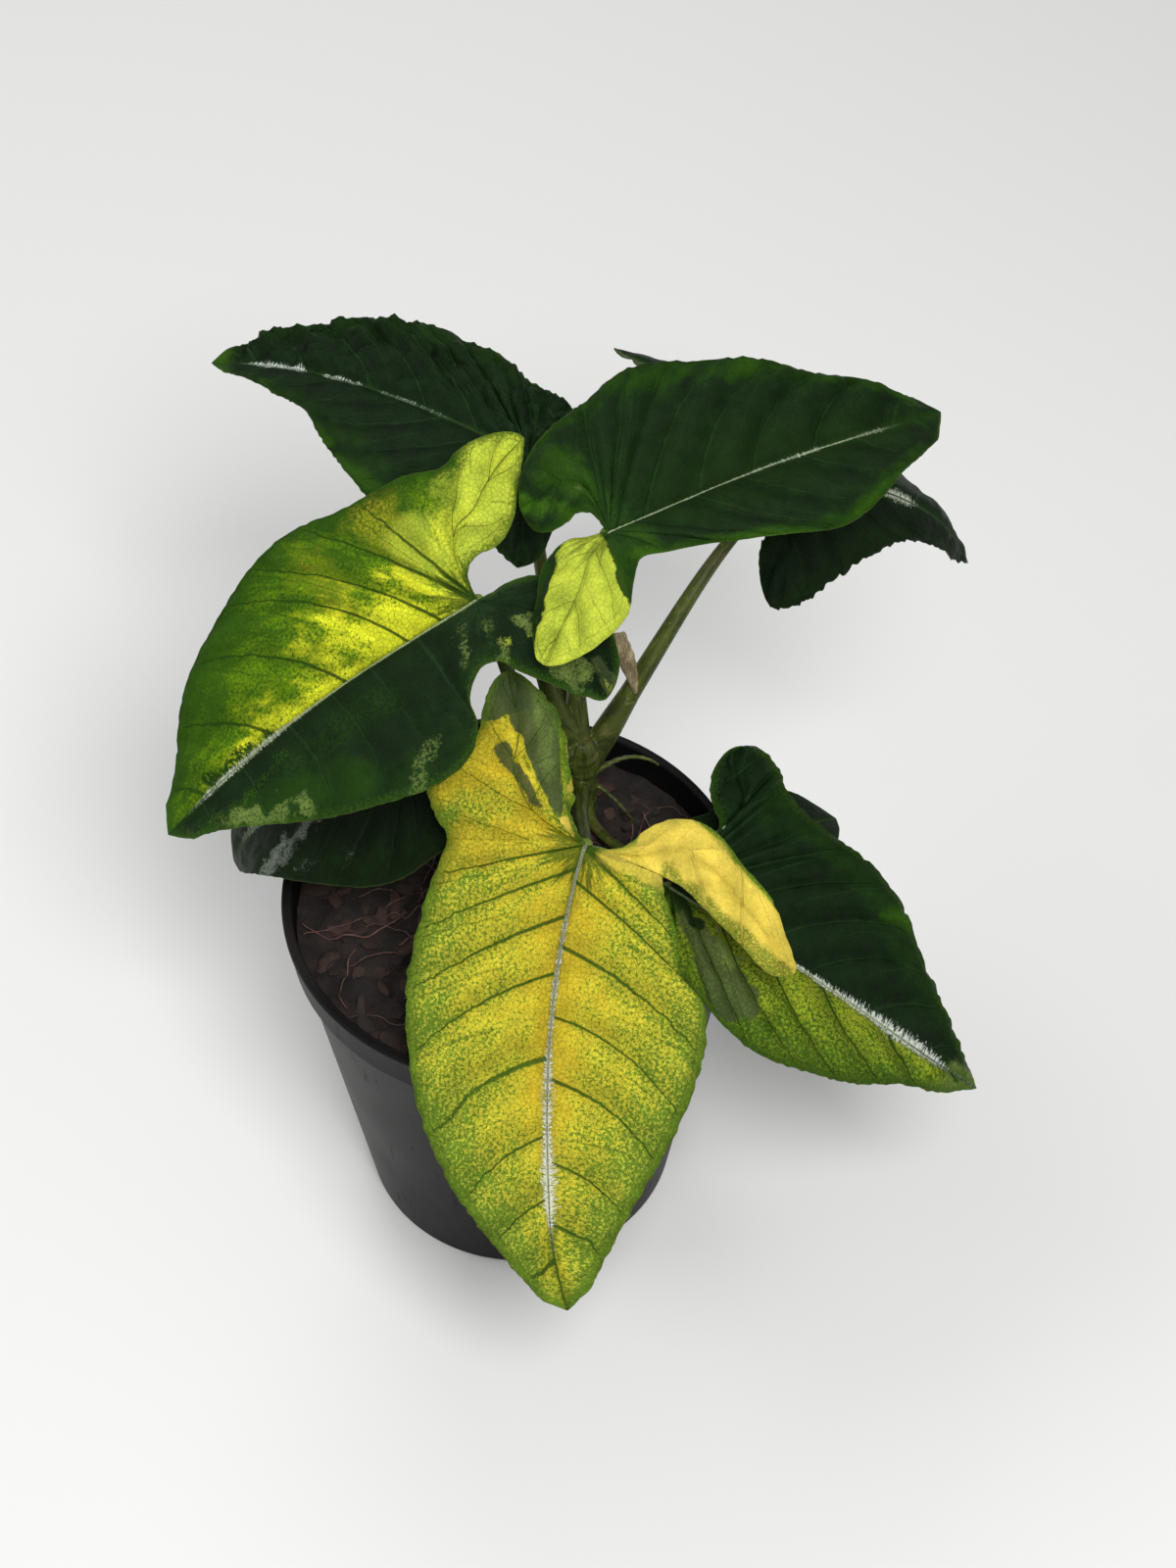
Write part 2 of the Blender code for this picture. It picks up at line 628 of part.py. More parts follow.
def soil_height(x, y):
    """Height of the soil's uneven top at a place."""
    u, v = x / MM, y / MM
    bumps = (math.sin(0.21 * u + 0.6) * math.cos(0.17 * v - 0.4)
             + 0.6 * math.sin(0.43 * u - 0.31 * v + 1.0) + 0.4 * math.cos(0.37 * u + 0.52 * v))
    return SOIL_TOP + SOIL_BUMP * 0.5 * bumps


def add_soil():
    """The body of soil, which fills the pot to under its rim, with a hole for the stem."""
    collar = POT_HEIGHT - COLLAR_DEPTH
    outline = [
        (COLLAR_RADIUS - WALL - GAP - 0.4 * MM, None),
        (COLLAR_RADIUS - WALL - GAP - 0.4 * MM, collar + 2.8 * MM),
        (wall_radius(collar) - WALL - GAP - 0.2 * MM, collar + 1.2 * MM),
        (BASE_RADIUS - WALL - GAP, FLOOR + 2.6 * MM),
        (BASE_RADIUS - WALL - GAP - 2 * MM, FLOOR + GAP),
    ]
    angles = np.linspace(0, 2 * math.pi, SOIL_SIDES, endpoint=False)
    ring_radii = [outline[0][0] * k / SOIL_RINGS for k in range(1, SOIL_RINGS + 1)]
    points = [(0.0, 0.0, soil_height(0, 0))]
    for r in ring_radii:
        for a in angles:
            x, y = r * math.cos(a), r * math.sin(a)
            level = soil_height(x, y)
            if r == ring_radii[-1]:
                level = SOIL_TOP + (level - SOIL_TOP) * 0.3 + 1.6 * MM
            points.append((x, y, level))
    for r, z in outline[1:]:
        points += [(r * math.cos(a), r * math.sin(a), z) for a in angles]
    n = SOIL_SIDES
    faces = [(0, 1 + i, 1 + (i + 1) % n) for i in range(n)]
    for j in range(len(points[1:]) // n - 1):
        for i in range(n):
            a, b = 1 + j * n + i, 1 + j * n + (i + 1) % n
            faces += [(a, a + n, b + n), (a, b + n, b)]
    last = 1 + (len(points[1:]) // n - 1) * n
    faces.append(tuple(last + i for i in reversed(range(n))))
    soil = add_object("soil", points, faces, (0.045, 0.020, 0.014, 1), 0.95)
    hole = STEM_RADIUS + GAP
    points, faces = capped([(hole, SOIL_TOP + 20 * MM), (hole, SOIL_TOP - STEM_DEPTH - GAP)], 16,
                           STEM_FOOT)
    cut(soil, make_guide("stem_hole", points, faces))
    return soil


def stem_profile():
    """Radius and height along the stem, top to bottom, with a low ring at each node."""
    r = STEM_RADIUS
    return [(r - 2.0 * MM, STEM_TOP), (r - 0.9 * MM, STEM_TOP - 1.5 * MM),
            (r - 0.3 * MM, 152 * MM), (r, 150.5 * MM), (r - 0.4 * MM, 149 * MM),
            (r - 0.4 * MM, 137 * MM), (r, 135.5 * MM), (r - 0.3 * MM, 134 * MM),
            (r, SOIL_TOP - STEM_DEPTH)]


def add_stem():
    """The upright stem with its rings, the feet of the petioles and the first aerial roots."""
    x, y = STEM_FOOT
    points, faces = capped(stem_profile(), 16, STEM_FOOT)
    stem = add_object("stem", points, faces, (0.14, 0.17, 0.06, 1), 0.55)
    roots = (
        ((3, 1, 145), (9, 3, 152), (18, 6, 153), (25, 5, 146)),
        ((3, 1, 142), (9, -1, 139), (13, -4, 136), (17, -7, 131)),
        ((-3, 1, 140), (-9, 2, 139), (-12, 3, 135), (-15, 4, 131)),
    )
    grown = []
    for k, route in enumerate(roots):
        route = [((x / MM + a) * MM, (y / MM + b) * MM, z * MM) for a, b, z in route]
        path = bezier(*route, 8)
        points, faces = tube(path, np.linspace(1.0, 0.6, len(path)) * MM, 6)
        grown.append(make_guide(f"root_{k}", points, faces))
    for leaf in LEAVES:
        points, faces = petiole_tube(leaf, 0.0, leaf.sheath * MM, 4)
        grown.append(make_guide(f"foot_{leaf.name}", points, faces))
    unite(stem, grown)
    return stem


def petiole_line(leaf):
    """Middle line of a petiole from inside the stem to just under its blade, in metres."""
    up = facing(leaf)[:, 2]
    start = np.array([STEM_FOOT[0], STEM_FOOT[1], leaf.leaves_stem_at * MM])
    away = np.array(leaf.leaves_stem) / np.linalg.norm(leaf.leaves_stem)
    last = up if leaf.arrives is None else np.array(leaf.arrives) / np.linalg.norm(leaf.arrives)
    end = np.array(leaf.seat) * MM - up * leaf.seat_drop * MM
    return bezier(start, start + away * leaf.reach[0] * MM, end - last * leaf.reach[1] * MM, end, 80)


def petiole_tube(leaf, start, end, spans):
    """Tube along part of a petiole, stout at the stem and slim at the blade.

    start and end are distances along it in metres, and an end of None is the blade's.
    """
    line = petiole_line(leaf)
    whole = np.linalg.norm(np.diff(line, axis=0), axis=1).sum()
    parts = np.linspace(start, end or whole, spans + 1) / whole
    low, high = leaf.thick
    radii = (high + (low - high) * (1 - parts) ** 1.1) * MM
    return tube(along_curve(line, parts), radii, PETIOLE_SIDES)


def add_petiole(leaf):
    """A leaf's petiole, from the foot that is grown to the stem up to its blade."""
    points, faces = petiole_tube(leaf, leaf.sheath * MM + GAP, None, PETIOLE_SPANS)
    return add_object(f"petiole_{leaf.name}", points, faces, PETIOLE_GREEN, 0.5)


def add_dry_sheath(leaf):
    """The dry, cupped strip whose point leans on the stout petiole of a leaf."""
    foot = along_curve(petiole_line(leaf), [SHEATH_AT])[0] + np.array(SHEATH_OFFSET) * MM
    rise = np.array(SHEATH_RISE) * MM
    top = foot + rise
    line = bezier(foot, foot + rise * 0.35 + np.array((1.5, -1.0, 0)) * MM, top - rise * 0.3, top,
                  SHEATH_SPANS)
    across = np.array(SHEATH_ACROSS)
    back = np.cross(across, rise / np.linalg.norm(rise))
    points, faces = [], []
    for k, centre in enumerate(line):
        part = k / SHEATH_SPANS
        half = 0.5 + 3.0 * math.sin(math.pi * min(part * 0.62, 0.5)) - 1.2 * max(0.0, part - 0.8)
        for turn in (-1, -0.5, 0, 0.5, 1):
            points.append(centre + (across * turn - back * 0.35 * turn ** 2) * half * MM)
    for k in range(SHEATH_SPANS):
        for j in range(4):
            a = k * 5 + j
            faces += [(a, a + 1, a + 6), (a, a + 6, a + 5)]
    points, faces = solid_sheet(points, faces, BLADE)
    return add_object("dry_sheath", points, faces, (0.30, 0.24, 0.13, 1), 0.8)


def add_blade(leaf):
    """A leaf's thin blade, with its origin where the petiole meets it and +Y along the midrib."""
    points, faces = sheet(leaf, MAIN_STATIONS, LOBE_STATIONS, ACROSS)
    points, faces = solid_sheet(points, faces, BLADE)
    blade = add_object(f"leaf_{leaf.name}", points, faces, leaf.colour, 0.45)
    blade.location = np.array(leaf.seat) * MM
    blade.rotation_euler = Matrix(facing(leaf)).to_euler()
    return blade


def main():
    """Build the pot, the soil, the stem and the leaves, all under one empty."""
    for old in list(bpy.data.objects):
        bpy.data.objects.remove(old)
    plant = bpy.data.objects.new("plant", None)
    bpy.context.scene.collection.objects.link(plant)
    pieces = [add_pot(), add_soil(), add_stem()]
    for leaf in LEAVES:
        pieces += [add_petiole(leaf), add_blade(leaf)]
        if leaf.name == SHEATH_LEAF:
            pieces.append(add_dry_sheath(leaf))
    for piece in pieces:
        piece.parent = plant
    bpy.context.view_layer.update()


main()
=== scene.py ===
"""Looks of the arrowhead plant in its round nursery pot.

Each class below is one kind of piece and builds its mesh and its finish. All shapes lie in the
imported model's frame: +Z up, the pot's underside on Z = 0, the plant's front towards -Y. A leaf is
drawn flat in millimetres, v from the petiole's seat along the midrib and u to its right, and then
rolled. Its material reads that drawing through three attributes of the face corners:
flat = (u, v, 1 above or -1 below), ribs = (rib number, way along the rib, mm from rib to rib) and
reach = (mm from the midrib, mm from the margin, 1 on the right half or -1 on the left).
"""
import logging
import math
from dataclasses import dataclass
from enum import Enum

import bpy
import numpy as np
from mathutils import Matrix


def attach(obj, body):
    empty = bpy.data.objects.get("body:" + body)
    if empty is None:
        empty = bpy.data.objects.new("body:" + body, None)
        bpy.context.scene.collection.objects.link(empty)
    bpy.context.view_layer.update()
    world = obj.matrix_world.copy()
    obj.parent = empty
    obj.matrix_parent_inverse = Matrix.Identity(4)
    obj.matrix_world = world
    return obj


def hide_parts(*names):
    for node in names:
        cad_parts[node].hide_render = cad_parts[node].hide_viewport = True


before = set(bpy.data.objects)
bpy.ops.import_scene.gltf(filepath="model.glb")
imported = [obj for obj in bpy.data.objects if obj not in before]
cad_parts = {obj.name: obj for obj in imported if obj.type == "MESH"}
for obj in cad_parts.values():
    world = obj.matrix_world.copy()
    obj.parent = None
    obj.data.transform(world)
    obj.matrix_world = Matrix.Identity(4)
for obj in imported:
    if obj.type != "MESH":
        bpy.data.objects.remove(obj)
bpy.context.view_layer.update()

LOG = logging.getLogger("arrowhead")
MM = 0.001
TURN = 2 * math.pi
Colour = tuple[float, float, float]
Pair = tuple[float, float]
Mesh = tuple[np.ndarray, np.ndarray]     # points and faces
Feed = "Value | float"                   # what a shader's input takes


class Value:
    """A shader socket that takes part in arithmetic: each operation adds its Math node."""

    def __init__(self, graph: "Graph", socket: bpy.types.NodeSocket) -> None:
        """Wrap one output socket of a graph."""
        self.graph, self.socket = graph, socket

    def math(self, operation: str, *others: Feed) -> "Value":
        """Math node of an operation on this value and up to two others."""
        return self.graph.node("ShaderNodeMath", {"operation": operation},
                               dict(enumerate((self, *others))))

    def __add__(self, other: Feed) -> "Value":
        """self + other"""
        return self.math("ADD", other)

    def __sub__(self, other: Feed) -> "Value":
        """self - other"""
        return self.math("SUBTRACT", other)

    def __rsub__(self, other: float) -> "Value":
        """other - self"""
        return self.math("MULTIPLY_ADD", -1.0, other)

    def __mul__(self, other: Feed) -> "Value":
        """self * other"""
        return self.math("MULTIPLY", other)

    __radd__ = __add__
    __rmul__ = __mul__

    def step(self, low: float, high: float, first: float, last: float) -> "Value":
        """Smooth step from `first` at low to `last` at high."""
        return self.graph.node("ShaderNodeMapRange", {"interpolation_type": "SMOOTHSTEP"},
                               {0: self, 1: low, 2: high, 3: first, 4: last})

    def rise(self, low: float, high: float) -> "Value":
        """Smooth step from 0 at low to 1 at high."""
        return self.step(low, high, 0.0, 1.0)

    def fall(self, low: float, high: float) -> "Value":
        """Smooth step from 1 at low to 0 at high."""
        return self.step(low, high, 1.0, 0.0)


class Graph:
    """The node tree of one material, with a Principled BSDF to be fed."""

    def __init__(self, name: str) -> None:
        """Make the material of that name."""
        self.material = bpy.data.materials.new(name)
        self.material.use_nodes = True
        self.tree = self.material.node_tree
        self.shader = self.tree.nodes["Principled BSDF"]

    def node(self, kind: str, settings: dict | None = None, inputs: dict | None = None,
             out: int = 0) -> Value:
        """Add a node.

        Args:
            kind: Blender's name of the node type.
            settings: values set on the node before its sockets; `stops` fills a colour ramp with
                (position, colour) pairs.
            inputs: socket name or number to a number, a colour or a Value to link.
            out: number of the output that is returned.

        Returns:
            The chosen output as a Value.
        """
        made = self.tree.nodes.new(kind)
        for key, value in (settings or {}).items():
            if key == "stops":
                ramp = made.color_ramp.elements
                while len(ramp) < len(value):
                    ramp.new(1.0)
                for element, (position, colour) in zip(ramp, value):
                    element.position, element.color = position, (*colour, 1.0)
            else:
                setattr(made, key, value)
        for key, value in (inputs or {}).items():
            self.feed(made.inputs[key], value)
        return Value(self, made.outputs[out])

    def feed(self, socket: bpy.types.NodeSocket, value: "Value | float | tuple") -> None:
        """Link or set an input socket.

        Args:
            socket: the input.
            value: a Value to link, or a number, vector or colour to set.
        """
        if isinstance(value, Value):
            self.tree.links.new(value.socket, socket)
        elif isinstance(value, tuple) and socket.type == "RGBA":
            socket.default_value = (*value[:3], 1.0)
        else:
            socket.default_value = value

    def attribute(self, name: str) -> tuple[Value, Value, Value, Value]:
        """A vector attribute of the mesh: the vector and its three numbers."""
        vector = self.node("ShaderNodeAttribute", {"attribute_name": name}, out=1)
        return (vector, *self.parts(vector))

    def parts(self, vector: Value) -> tuple[Value, Value, Value]:
        """The three numbers of a vector."""
        split = self.node("ShaderNodeSeparateXYZ", None, {0: vector})
        return tuple(Value(self, part) for part in split.socket.node.outputs)

    def join(self, x: Feed, y: Feed, z: Feed = 0.0) -> Value:
        """A vector from three numbers."""
        return self.node("ShaderNodeCombineXYZ", None, {0: x, 1: y, 2: z})

    def vector(self, operation: str, *inputs: "Value | tuple", out: int = 0) -> Value:
        """Vector Math node of an operation; out=1 gives its number."""
        return self.node("ShaderNodeVectorMath", {"operation": operation},
                         dict(enumerate(inputs)), out)

    def place(self) -> Value:
        """Object coordinates, in metres."""
        return self.node("ShaderNodeTexCoord", out=3)

    def noise(self, vector: Value, scale: float, detail: float = 2.0, rough: float = 0.5,
              flat: bool = False) -> Value:
        """Noise about 0.5 with `scale` bumps to a unit of the vector; flat leaves out its z."""
        return self.node("ShaderNodeTexNoise", {"noise_dimensions": "2D" if flat else "3D"},
                         {"Vector": vector, "Scale": scale, "Detail": detail, "Roughness": rough})

    def mix(self, first: "Value | Colour", second: "Value | Colour", amount: Feed,
            blend: str = "MIX") -> Value:
        """Colour that goes from first at amount 0 to second, or their blend, at 1."""
        return self.node("ShaderNodeMix", {"data_type": "RGBA", "blend_type": blend},
                         {0: amount, 6: first, 7: second}, out=2)

    def ramp(self, value: Value, stops: tuple[Pair, ...]) -> Value:
        """A number that follows (position, height) stops, both from 0 to 1."""
        grey = {"stops": [(position, (height,) * 3) for position, height in stops]}
        return self.parts(self.node("ShaderNodeValToRGB", grey, {0: value}))[0]

    def finish(self, colour: "Value | Colour", rough: Feed, relief: Value | None = None,
               height: float = 0.0, **fixed: float) -> bpy.types.Material:
        """Feed the Principled BSDF.

        Args:
            colour: Base Color.
            rough: Roughness.
            relief: height of the fine relief as a share of `height`.
            height: depth of the relief in metres.
            fixed: other sockets by name, with _ for a space, set to one number each.

        Returns:
            The finished material.
        """
        sockets = self.shader.inputs
        self.feed(sockets["Base Color"], colour)
        self.feed(sockets["Roughness"], rough)
        if relief is not None:
            self.feed(sockets["Normal"], self.node(
                "ShaderNodeBump", None, {"Strength": 1.0, "Distance": height, "Height": relief}))
        for key, value in fixed.items():
            sockets[key.replace("_", " ")].default_value = value
        return self.material


@dataclass(frozen=True)
class Skin:
    """Colouring of one half of a leaf.

    The colour goes from `inner` by the midrib through `middle` to `outer` at the margin, with
    blotches along the ribs; speckles cover the two shares `speckled` of the inner and outer zones.
    """
    inner: Colour
    middle: Colour
    outer: Colour
    vein: Colour
    vein_amount: float
    turns: Pair                          # way to the margin where middle and outer are reached
    blotch: float = 0.35
    speckle: Colour = (0.07, 0.17, 0.012)
    speckled: Pair = (0.0, 0.0)
    tipward: float = 0.0                 # how far the tip's colours move out towards the margin's


GOLD = Skin((0.54, 0.42, 0.024), (0.53, 0.47, 0.032), (0.42, 0.46, 0.048),
            (0.032, 0.080, 0.006), 0.92, (0.45, 1.20), 0.45,
            (0.075, 0.155, 0.010), (0.12, 0.58), 0.40)
LIME = Skin((0.62, 0.65, 0.022), (0.100, 0.185, 0.002), (0.030, 0.085, 0.001),
            (0.018, 0.052, 0.003), 0.9, (0.50, 1.10), 0.75,
            (0.024, 0.075, 0.002), (0.14, 0.52), 0.35)
GREEN_GOLD = Skin((0.30, 0.34, 0.024), (0.25, 0.31, 0.018), (0.14, 0.21, 0.012),
                  (0.018, 0.048, 0.004), 0.9, (0.35, 0.9), 0.5,
                  (0.030, 0.075, 0.005), (0.30, 0.52))
DARK = Skin((0.005, 0.015, 0.004), (0.0045, 0.013, 0.0035), (0.008, 0.027, 0.0025),
            (0.014, 0.036, 0.011), 0.6, (0.6, 1.0), 0.4)
GREEN = Skin((0.007, 0.022, 0.003), (0.0055, 0.016, 0.0035), (0.013, 0.048, 0.0012),
             (0.012, 0.036, 0.007), 0.6, (0.70, 1.05), 0.30)
DEEP = Skin((0.004, 0.011, 0.0035), (0.0035, 0.009, 0.0028), (0.005, 0.015, 0.0025),
            (0.009, 0.022, 0.007), 0.5, (0.5, 1.0))


class Tone(Enum):
    """Colours of blotches and sectors on the leaves."""
    SAGE = (0.058, 0.080, 0.030)
    PALE_SAGE = (0.17, 0.24, 0.055)
    CREAM = (0.68, 0.52, 0.076)
    ORANGE = (0.62, 0.42, 0.020)
    PALE_LIME = (0.48, 0.56, 0.050)
    YELLOW = (0.68, 0.56, 0.035)
    BRIGHT = (0.040, 0.120, 0.003)
    GREEN = (0.014, 0.048, 0.002)
    DARK = (0.006, 0.016, 0.005)
    SILVER = (0.23, 0.26, 0.22)


@dataclass(frozen=True)
class Patch:
    """A sector of another colour between two points of the flat leaf, in mm."""
    start: Pair
    end: Pair
    widths: Pair                         # half its width at the start and at the end
    tone: Tone
    ragged: float = 2.0                  # how far its edge wanders
    cover: float = 1.0
    soft: float = 0.3                    # half the width of its edge
    broken: float = 0.0                  # share of it that fine speckles leave open


def patches(*rows: tuple) -> tuple[Patch, ...]:
    """Sectors from rows of their fields in order, with the three pairs written as six numbers."""
    return tuple(Patch(row[:2], row[2:4], row[4:6], *row[6:]) for row in rows)


@dataclass(frozen=True)
class Midrib:
    """The midrib's line and the frosted streaks beside it.

    The line lies sway sin(pi share^k) mm to the right, share being the way to the tip and k such
    that it is furthest out at sway_at.
    """
    sway: float                          # furthest place right of the straight line, in mm
    sway_at: float                       # where that is, as a share of the leaf's length
    width: float                         # half the line's width at the seat, in mm
    colour: Colour
    frost: tuple[Pair, ...]              # (mm from the seat, reach of the frost in mm)
    frost_colour: Colour = (0.60, 0.64, 0.50)

    @property
    def power(self) -> float:
        """The k of the line's formula."""
        return math.log(0.5) / math.log(self.sway_at)

    def line(self, share: np.ndarray) -> np.ndarray:
        """Places of the line in mm."""
        return self.sway * np.sin(math.pi * np.clip(share, 0, 1) ** self.power)


@dataclass(frozen=True)
class Look:
    """What the finish and the fine relief of one leaf need."""
    right: Skin
    left: Skin
    ribs: int                            # lateral veins on each side
    quilt: float                         # rise between two lateral veins, in mm
    wrinkle: Pair                        # fine unevenness of the right and left halves, in mm
    teeth: Pair                          # unevenness of the two margins, in mm
    midrib: Midrib
    patches: tuple[Patch, ...] = ()
    fan: Pair = (0.2, 0.2)               # share of the right and left margin reached from the seat
    under: Colour = (0.12, 0.19, 0.07)


@dataclass(frozen=True)
class LeafFinish:
    """Blade of a leaf: zones of colour, sectors, speckles, veins, painted light and shade of the
    quilting, frosted midrib and underside.
    """
    look: Look
    length: float
    seed: float
    relief: float = 0.0009               # depth of the fine relief, in metres
    gloss: float = 0.06                  # specular level of the matt skin
    cells: float = 0.62                  # meshes of the net of fine veins to a mm
    rims: Pair = (0.7, 0.25)             # green on the margins of speckled and of plain halves
    speck: Colour = (0.012, 0.02, 0.006)
    # colour factors of the painted shade and painted light of the quilting, which also scale random
    # brightness
    painted_shading: tuple[Colour, Colour] = ((0.62, 0.64, 0.62), (1.30, 1.28, 1.24))

    def sector(self, g: Graph, place: Value, patch: Patch, wander: Value) -> Value:
        """Mask of a sector: 1 where |p - a - h (b - a)| is under the width, h the way from a to b.

        Args:
            g: the material's graph.
            place: the point p of the flat leaf.
            patch: the sector from a to b.
            wander: noise that moves its edge.

        Returns:
            The mask times the sector's cover.
        """
        (au, av), (bu, bv) = patch.start, patch.end
        du, dv = bu - au, bv - av
        span = du * du + dv * dv or 1.0
        off = g.vector("SUBTRACT", place, (au, av, 0))
        way = g.vector("DOT_PRODUCT", off, (du / span, dv / span, 0), out=1)
        way = way.math("MINIMUM", 1.0).math("MAXIMUM", 0.0)
        line = g.node("ShaderNodeVectorMath", {"operation": "SCALE"}, {0: (du, dv, 0), 3: way})
        rest = g.vector("DISTANCE", off, line, out=1)
        width = way * (patch.widths[1] - patch.widths[0]) + patch.widths[0]
        mask = (rest - width + wander * (2.2 * patch.ragged)).fall(-patch.soft, patch.soft)
        return mask * patch.cover

    def zones(self, g: Graph, skin: Skin, way: Value, share: Value, drift: Value,
              spots: Value) -> Value:
        """Colour of one half from its midrib to its margin, with its speckles.

        Args:
            g: the material's graph.
            skin: colouring of the half.
            way: way along the rib, from 0 to 1.
            share: way to the leaf's tip, from 0 to 1.
            drift: noise that moves the zones.
            spots: fine noise that the speckles are cut from.

        Returns:
            The colour.
        """
        zone = way + drift * skin.blotch
        if skin.tipward:
            zone = zone + share.rise(0.35, 0.95) * skin.tipward
        first, last = skin.turns
        colour = g.mix(skin.inner, skin.middle, zone.rise(0.0, first))
        colour = g.mix(colour, skin.outer, zone.rise(first, last))
        if max(skin.speckled):
            low, high = skin.speckled
            cover = zone.math("MINIMUM", 1.1) * (high - low) + low
            colour = g.mix(colour, skin.speckle, (spots + cover * 0.30).rise(0.59, 0.67) * 0.90)
        return colour

    def painted(self, g: Graph, colour: Value, shade: Value, flat: Value, spots: Value,
                wander: Value) -> tuple[Value, Value, Feed]:
        """Lay the sectors over a colour.

        Args:
            g: the material's graph.
            colour: the colour so far.
            shade: the veins' colour, which is paler on cream.
            flat: the place on the flat leaf.
            spots: fine noise that breaks some sectors up.
            wander: noise that moves the sectors' edges.

        Returns:
            The colour, the veins' colour and what the cream leaves bare of it.
        """
        bare: Feed = 1.0
        for patch in self.look.patches:
            mask = self.sector(g, flat, patch, wander)
            if patch.tone is Tone.CREAM:
                shade = g.mix(shade, (0.58, 0.45, 0.07), mask)
                bare = (1.0 - mask * 0.85) * bare
            if patch.broken:
                mask = mask * (spots - patch.broken * 0.6).rise(0.16, 0.24)
            colour = g.mix(colour, patch.tone.value, mask)
        return colour, shade, bare

    def material(self, name: str) -> bpy.types.Material:
        """Make the material from the blade's three attributes.

        Args:
            name: the material's name.

        Returns:
            The material.
        """
        look, g = self.look, Graph(name)
        flat, u, v, face = g.attribute("flat")
        _, rib, way, gap = g.attribute("ribs")
        _, run, edge, half = g.attribute("reach")
        share = v * (1.0 / self.length)
        right, main = half.rise(-0.1, 0.1), v.rise(-0.8, 0.3)

        # Unevenness over the flat leaf, from broad to fine, and along the ribs.
        place = g.vector("ADD", flat, (self.seed * 3.7, self.seed * 1.3, 0.0))
        broad = g.noise(place, 0.05, 2.0, flat=True) - 0.5
        cloud = g.noise(place, 0.16, 4.0, 0.6, flat=True) - 0.5
        spots = g.noise(place, 0.95, 6.0, 0.80, flat=True)
        fine = g.noise(place, 1.7, 3.0, 0.62, flat=True)
        grain = g.noise(place, 3.6, 2.0, 0.6, flat=True)
        ribwise = g.noise(g.join(rib * 1.6 + self.seed, way * 2.6), 1.6, 5.0, 0.66, flat=True) - 0.5
        drift = broad * 0.9 + ribwise * 1.7 + cloud * 0.4
        spots = spots + cloud * 0.12 + ribwise * 0.12

        # Veins: whole numbers of `bent` are main ones, and halves fork off between them.
        bent = rib - (1.0 - main) * way * 1.1 - right * 0.4 + 0.4 + cloud * 0.22 * way
        jitter = g.noise(g.join(rib, right * 9.0 + self.seed), 0.6, 1.0, flat=True) - 0.5
        bent = bent + jitter * 0.8
        off = bent.math("PINGPONG", 0.5) * gap
        size = 0.62 - way * 0.42 + (fine - 0.5) * 0.5
        size = size * (main * 0.7 + 0.3)
        vein = (off - size).fall(-0.26, 0.14) * edge.rise(1.2, 3.6)
        beside = off.fall(0.0, 2.8) * way.fall(0.50, 1.0)
        fork = (bent + 0.5 + (way - 0.3) * 0.55).math("PINGPONG", 0.5) * gap
        half_vein = fork.fall(0.10, 0.40) * way.rise(0.30, 0.42) * edge.rise(1.2, 3.0)
        ring = (edge - 3.3 + cloud * 3.4 + ribwise * 1.5).math("ABSOLUTE").fall(0.08, 0.36)
        net = g.node("ShaderNodeTexVoronoi",
                     {"voronoi_dimensions": "2D", "feature": "DISTANCE_TO_EDGE"},
                     {"Vector": place, "Scale": self.cells}).fall(0.03, 0.15)
        lobe_vein = run.fall(0.12, 0.50) * (1.0 - main) * edge.rise(2.0, 6.0)
        rays = g.noise(g.vector("NORMALIZE", flat), 7.0, 3.0, 0.6)
        spray = (g.vector("LENGTH", flat, out=1) - (rays - 0.28) * 38.0).fall(-1.5, 5.0)

        # Colour of both halves, with sectors, green rims and the veins' shade.
        colour = g.mix(self.zones(g, look.left, way, share, drift, spots),
                       self.zones(g, look.right, way, share, drift, spots), right)
        shade = g.mix(look.left.vein, look.right.vein, right)
        amount = right * (look.right.vein_amount - look.left.vein_amount) + look.left.vein_amount
        wander = cloud + ribwise * 0.5 + (spots - 0.5) * 0.4
        colour, shade, bare = self.painted(g, colour, shade, flat, spots, wander)
        if max(look.left.speckled + look.right.speckled):
            left_rim, right_rim = (self.rims[0 if max(skin.speckled) else 1]
                                   for skin in (look.left, look.right))
            rim = (edge - 1.9 + (spots - 0.5) * 13.0).fall(-1.4, 1.4)
            rim = rim * (right * (right_rim - left_rim) + left_rim) * bare
            colour = g.mix(colour, g.mix(look.left.speckle, look.right.speckle, right), rim)
        for cover in (beside * ((cloud * 1.4 + ribwise * 0.8 + 0.30) * amount * 0.42),
                      spray * amount * 0.85, net * amount * 0.30 + half_vein * amount * 0.40,
                      vein.math("MAXIMUM", lobe_vein * 0.8) * amount, ring * amount * 0.35):
            colour = g.mix(colour, shade, cover)

        # Pale outermost edge, pinprick specks, and painted light and shade of the quilting: across
        # the ribs the colour is painted lighter and darker in turn, with random brightness from the
        # noise mixed in.
        colour = g.mix(colour, g.mix(colour, (0.40, 0.50, 0.12), 0.06), edge.fall(0.2, 0.6))
        colour = g.mix(colour, self.speck, (grain * 0.55 + fine * 0.45).rise(0.67, 0.70) * 0.8)
        # painted shade and light across each pleat, multiplied into the colour
        pleat_shade = (bent + 0.18).math("PINGPONG", 0.5) * way.rise(0.0, 0.15) * way.fall(0.8, 1.0)
        lit = g.mix(*self.painted_shading, grain * 0.5 + cloud * 1.4 + pleat_shade + 0.05)
        colour = g.mix(colour, lit, 1.0, "MULTIPLY")
        colour, frost, line = self.midrib(g, colour, u, share, fine, main)

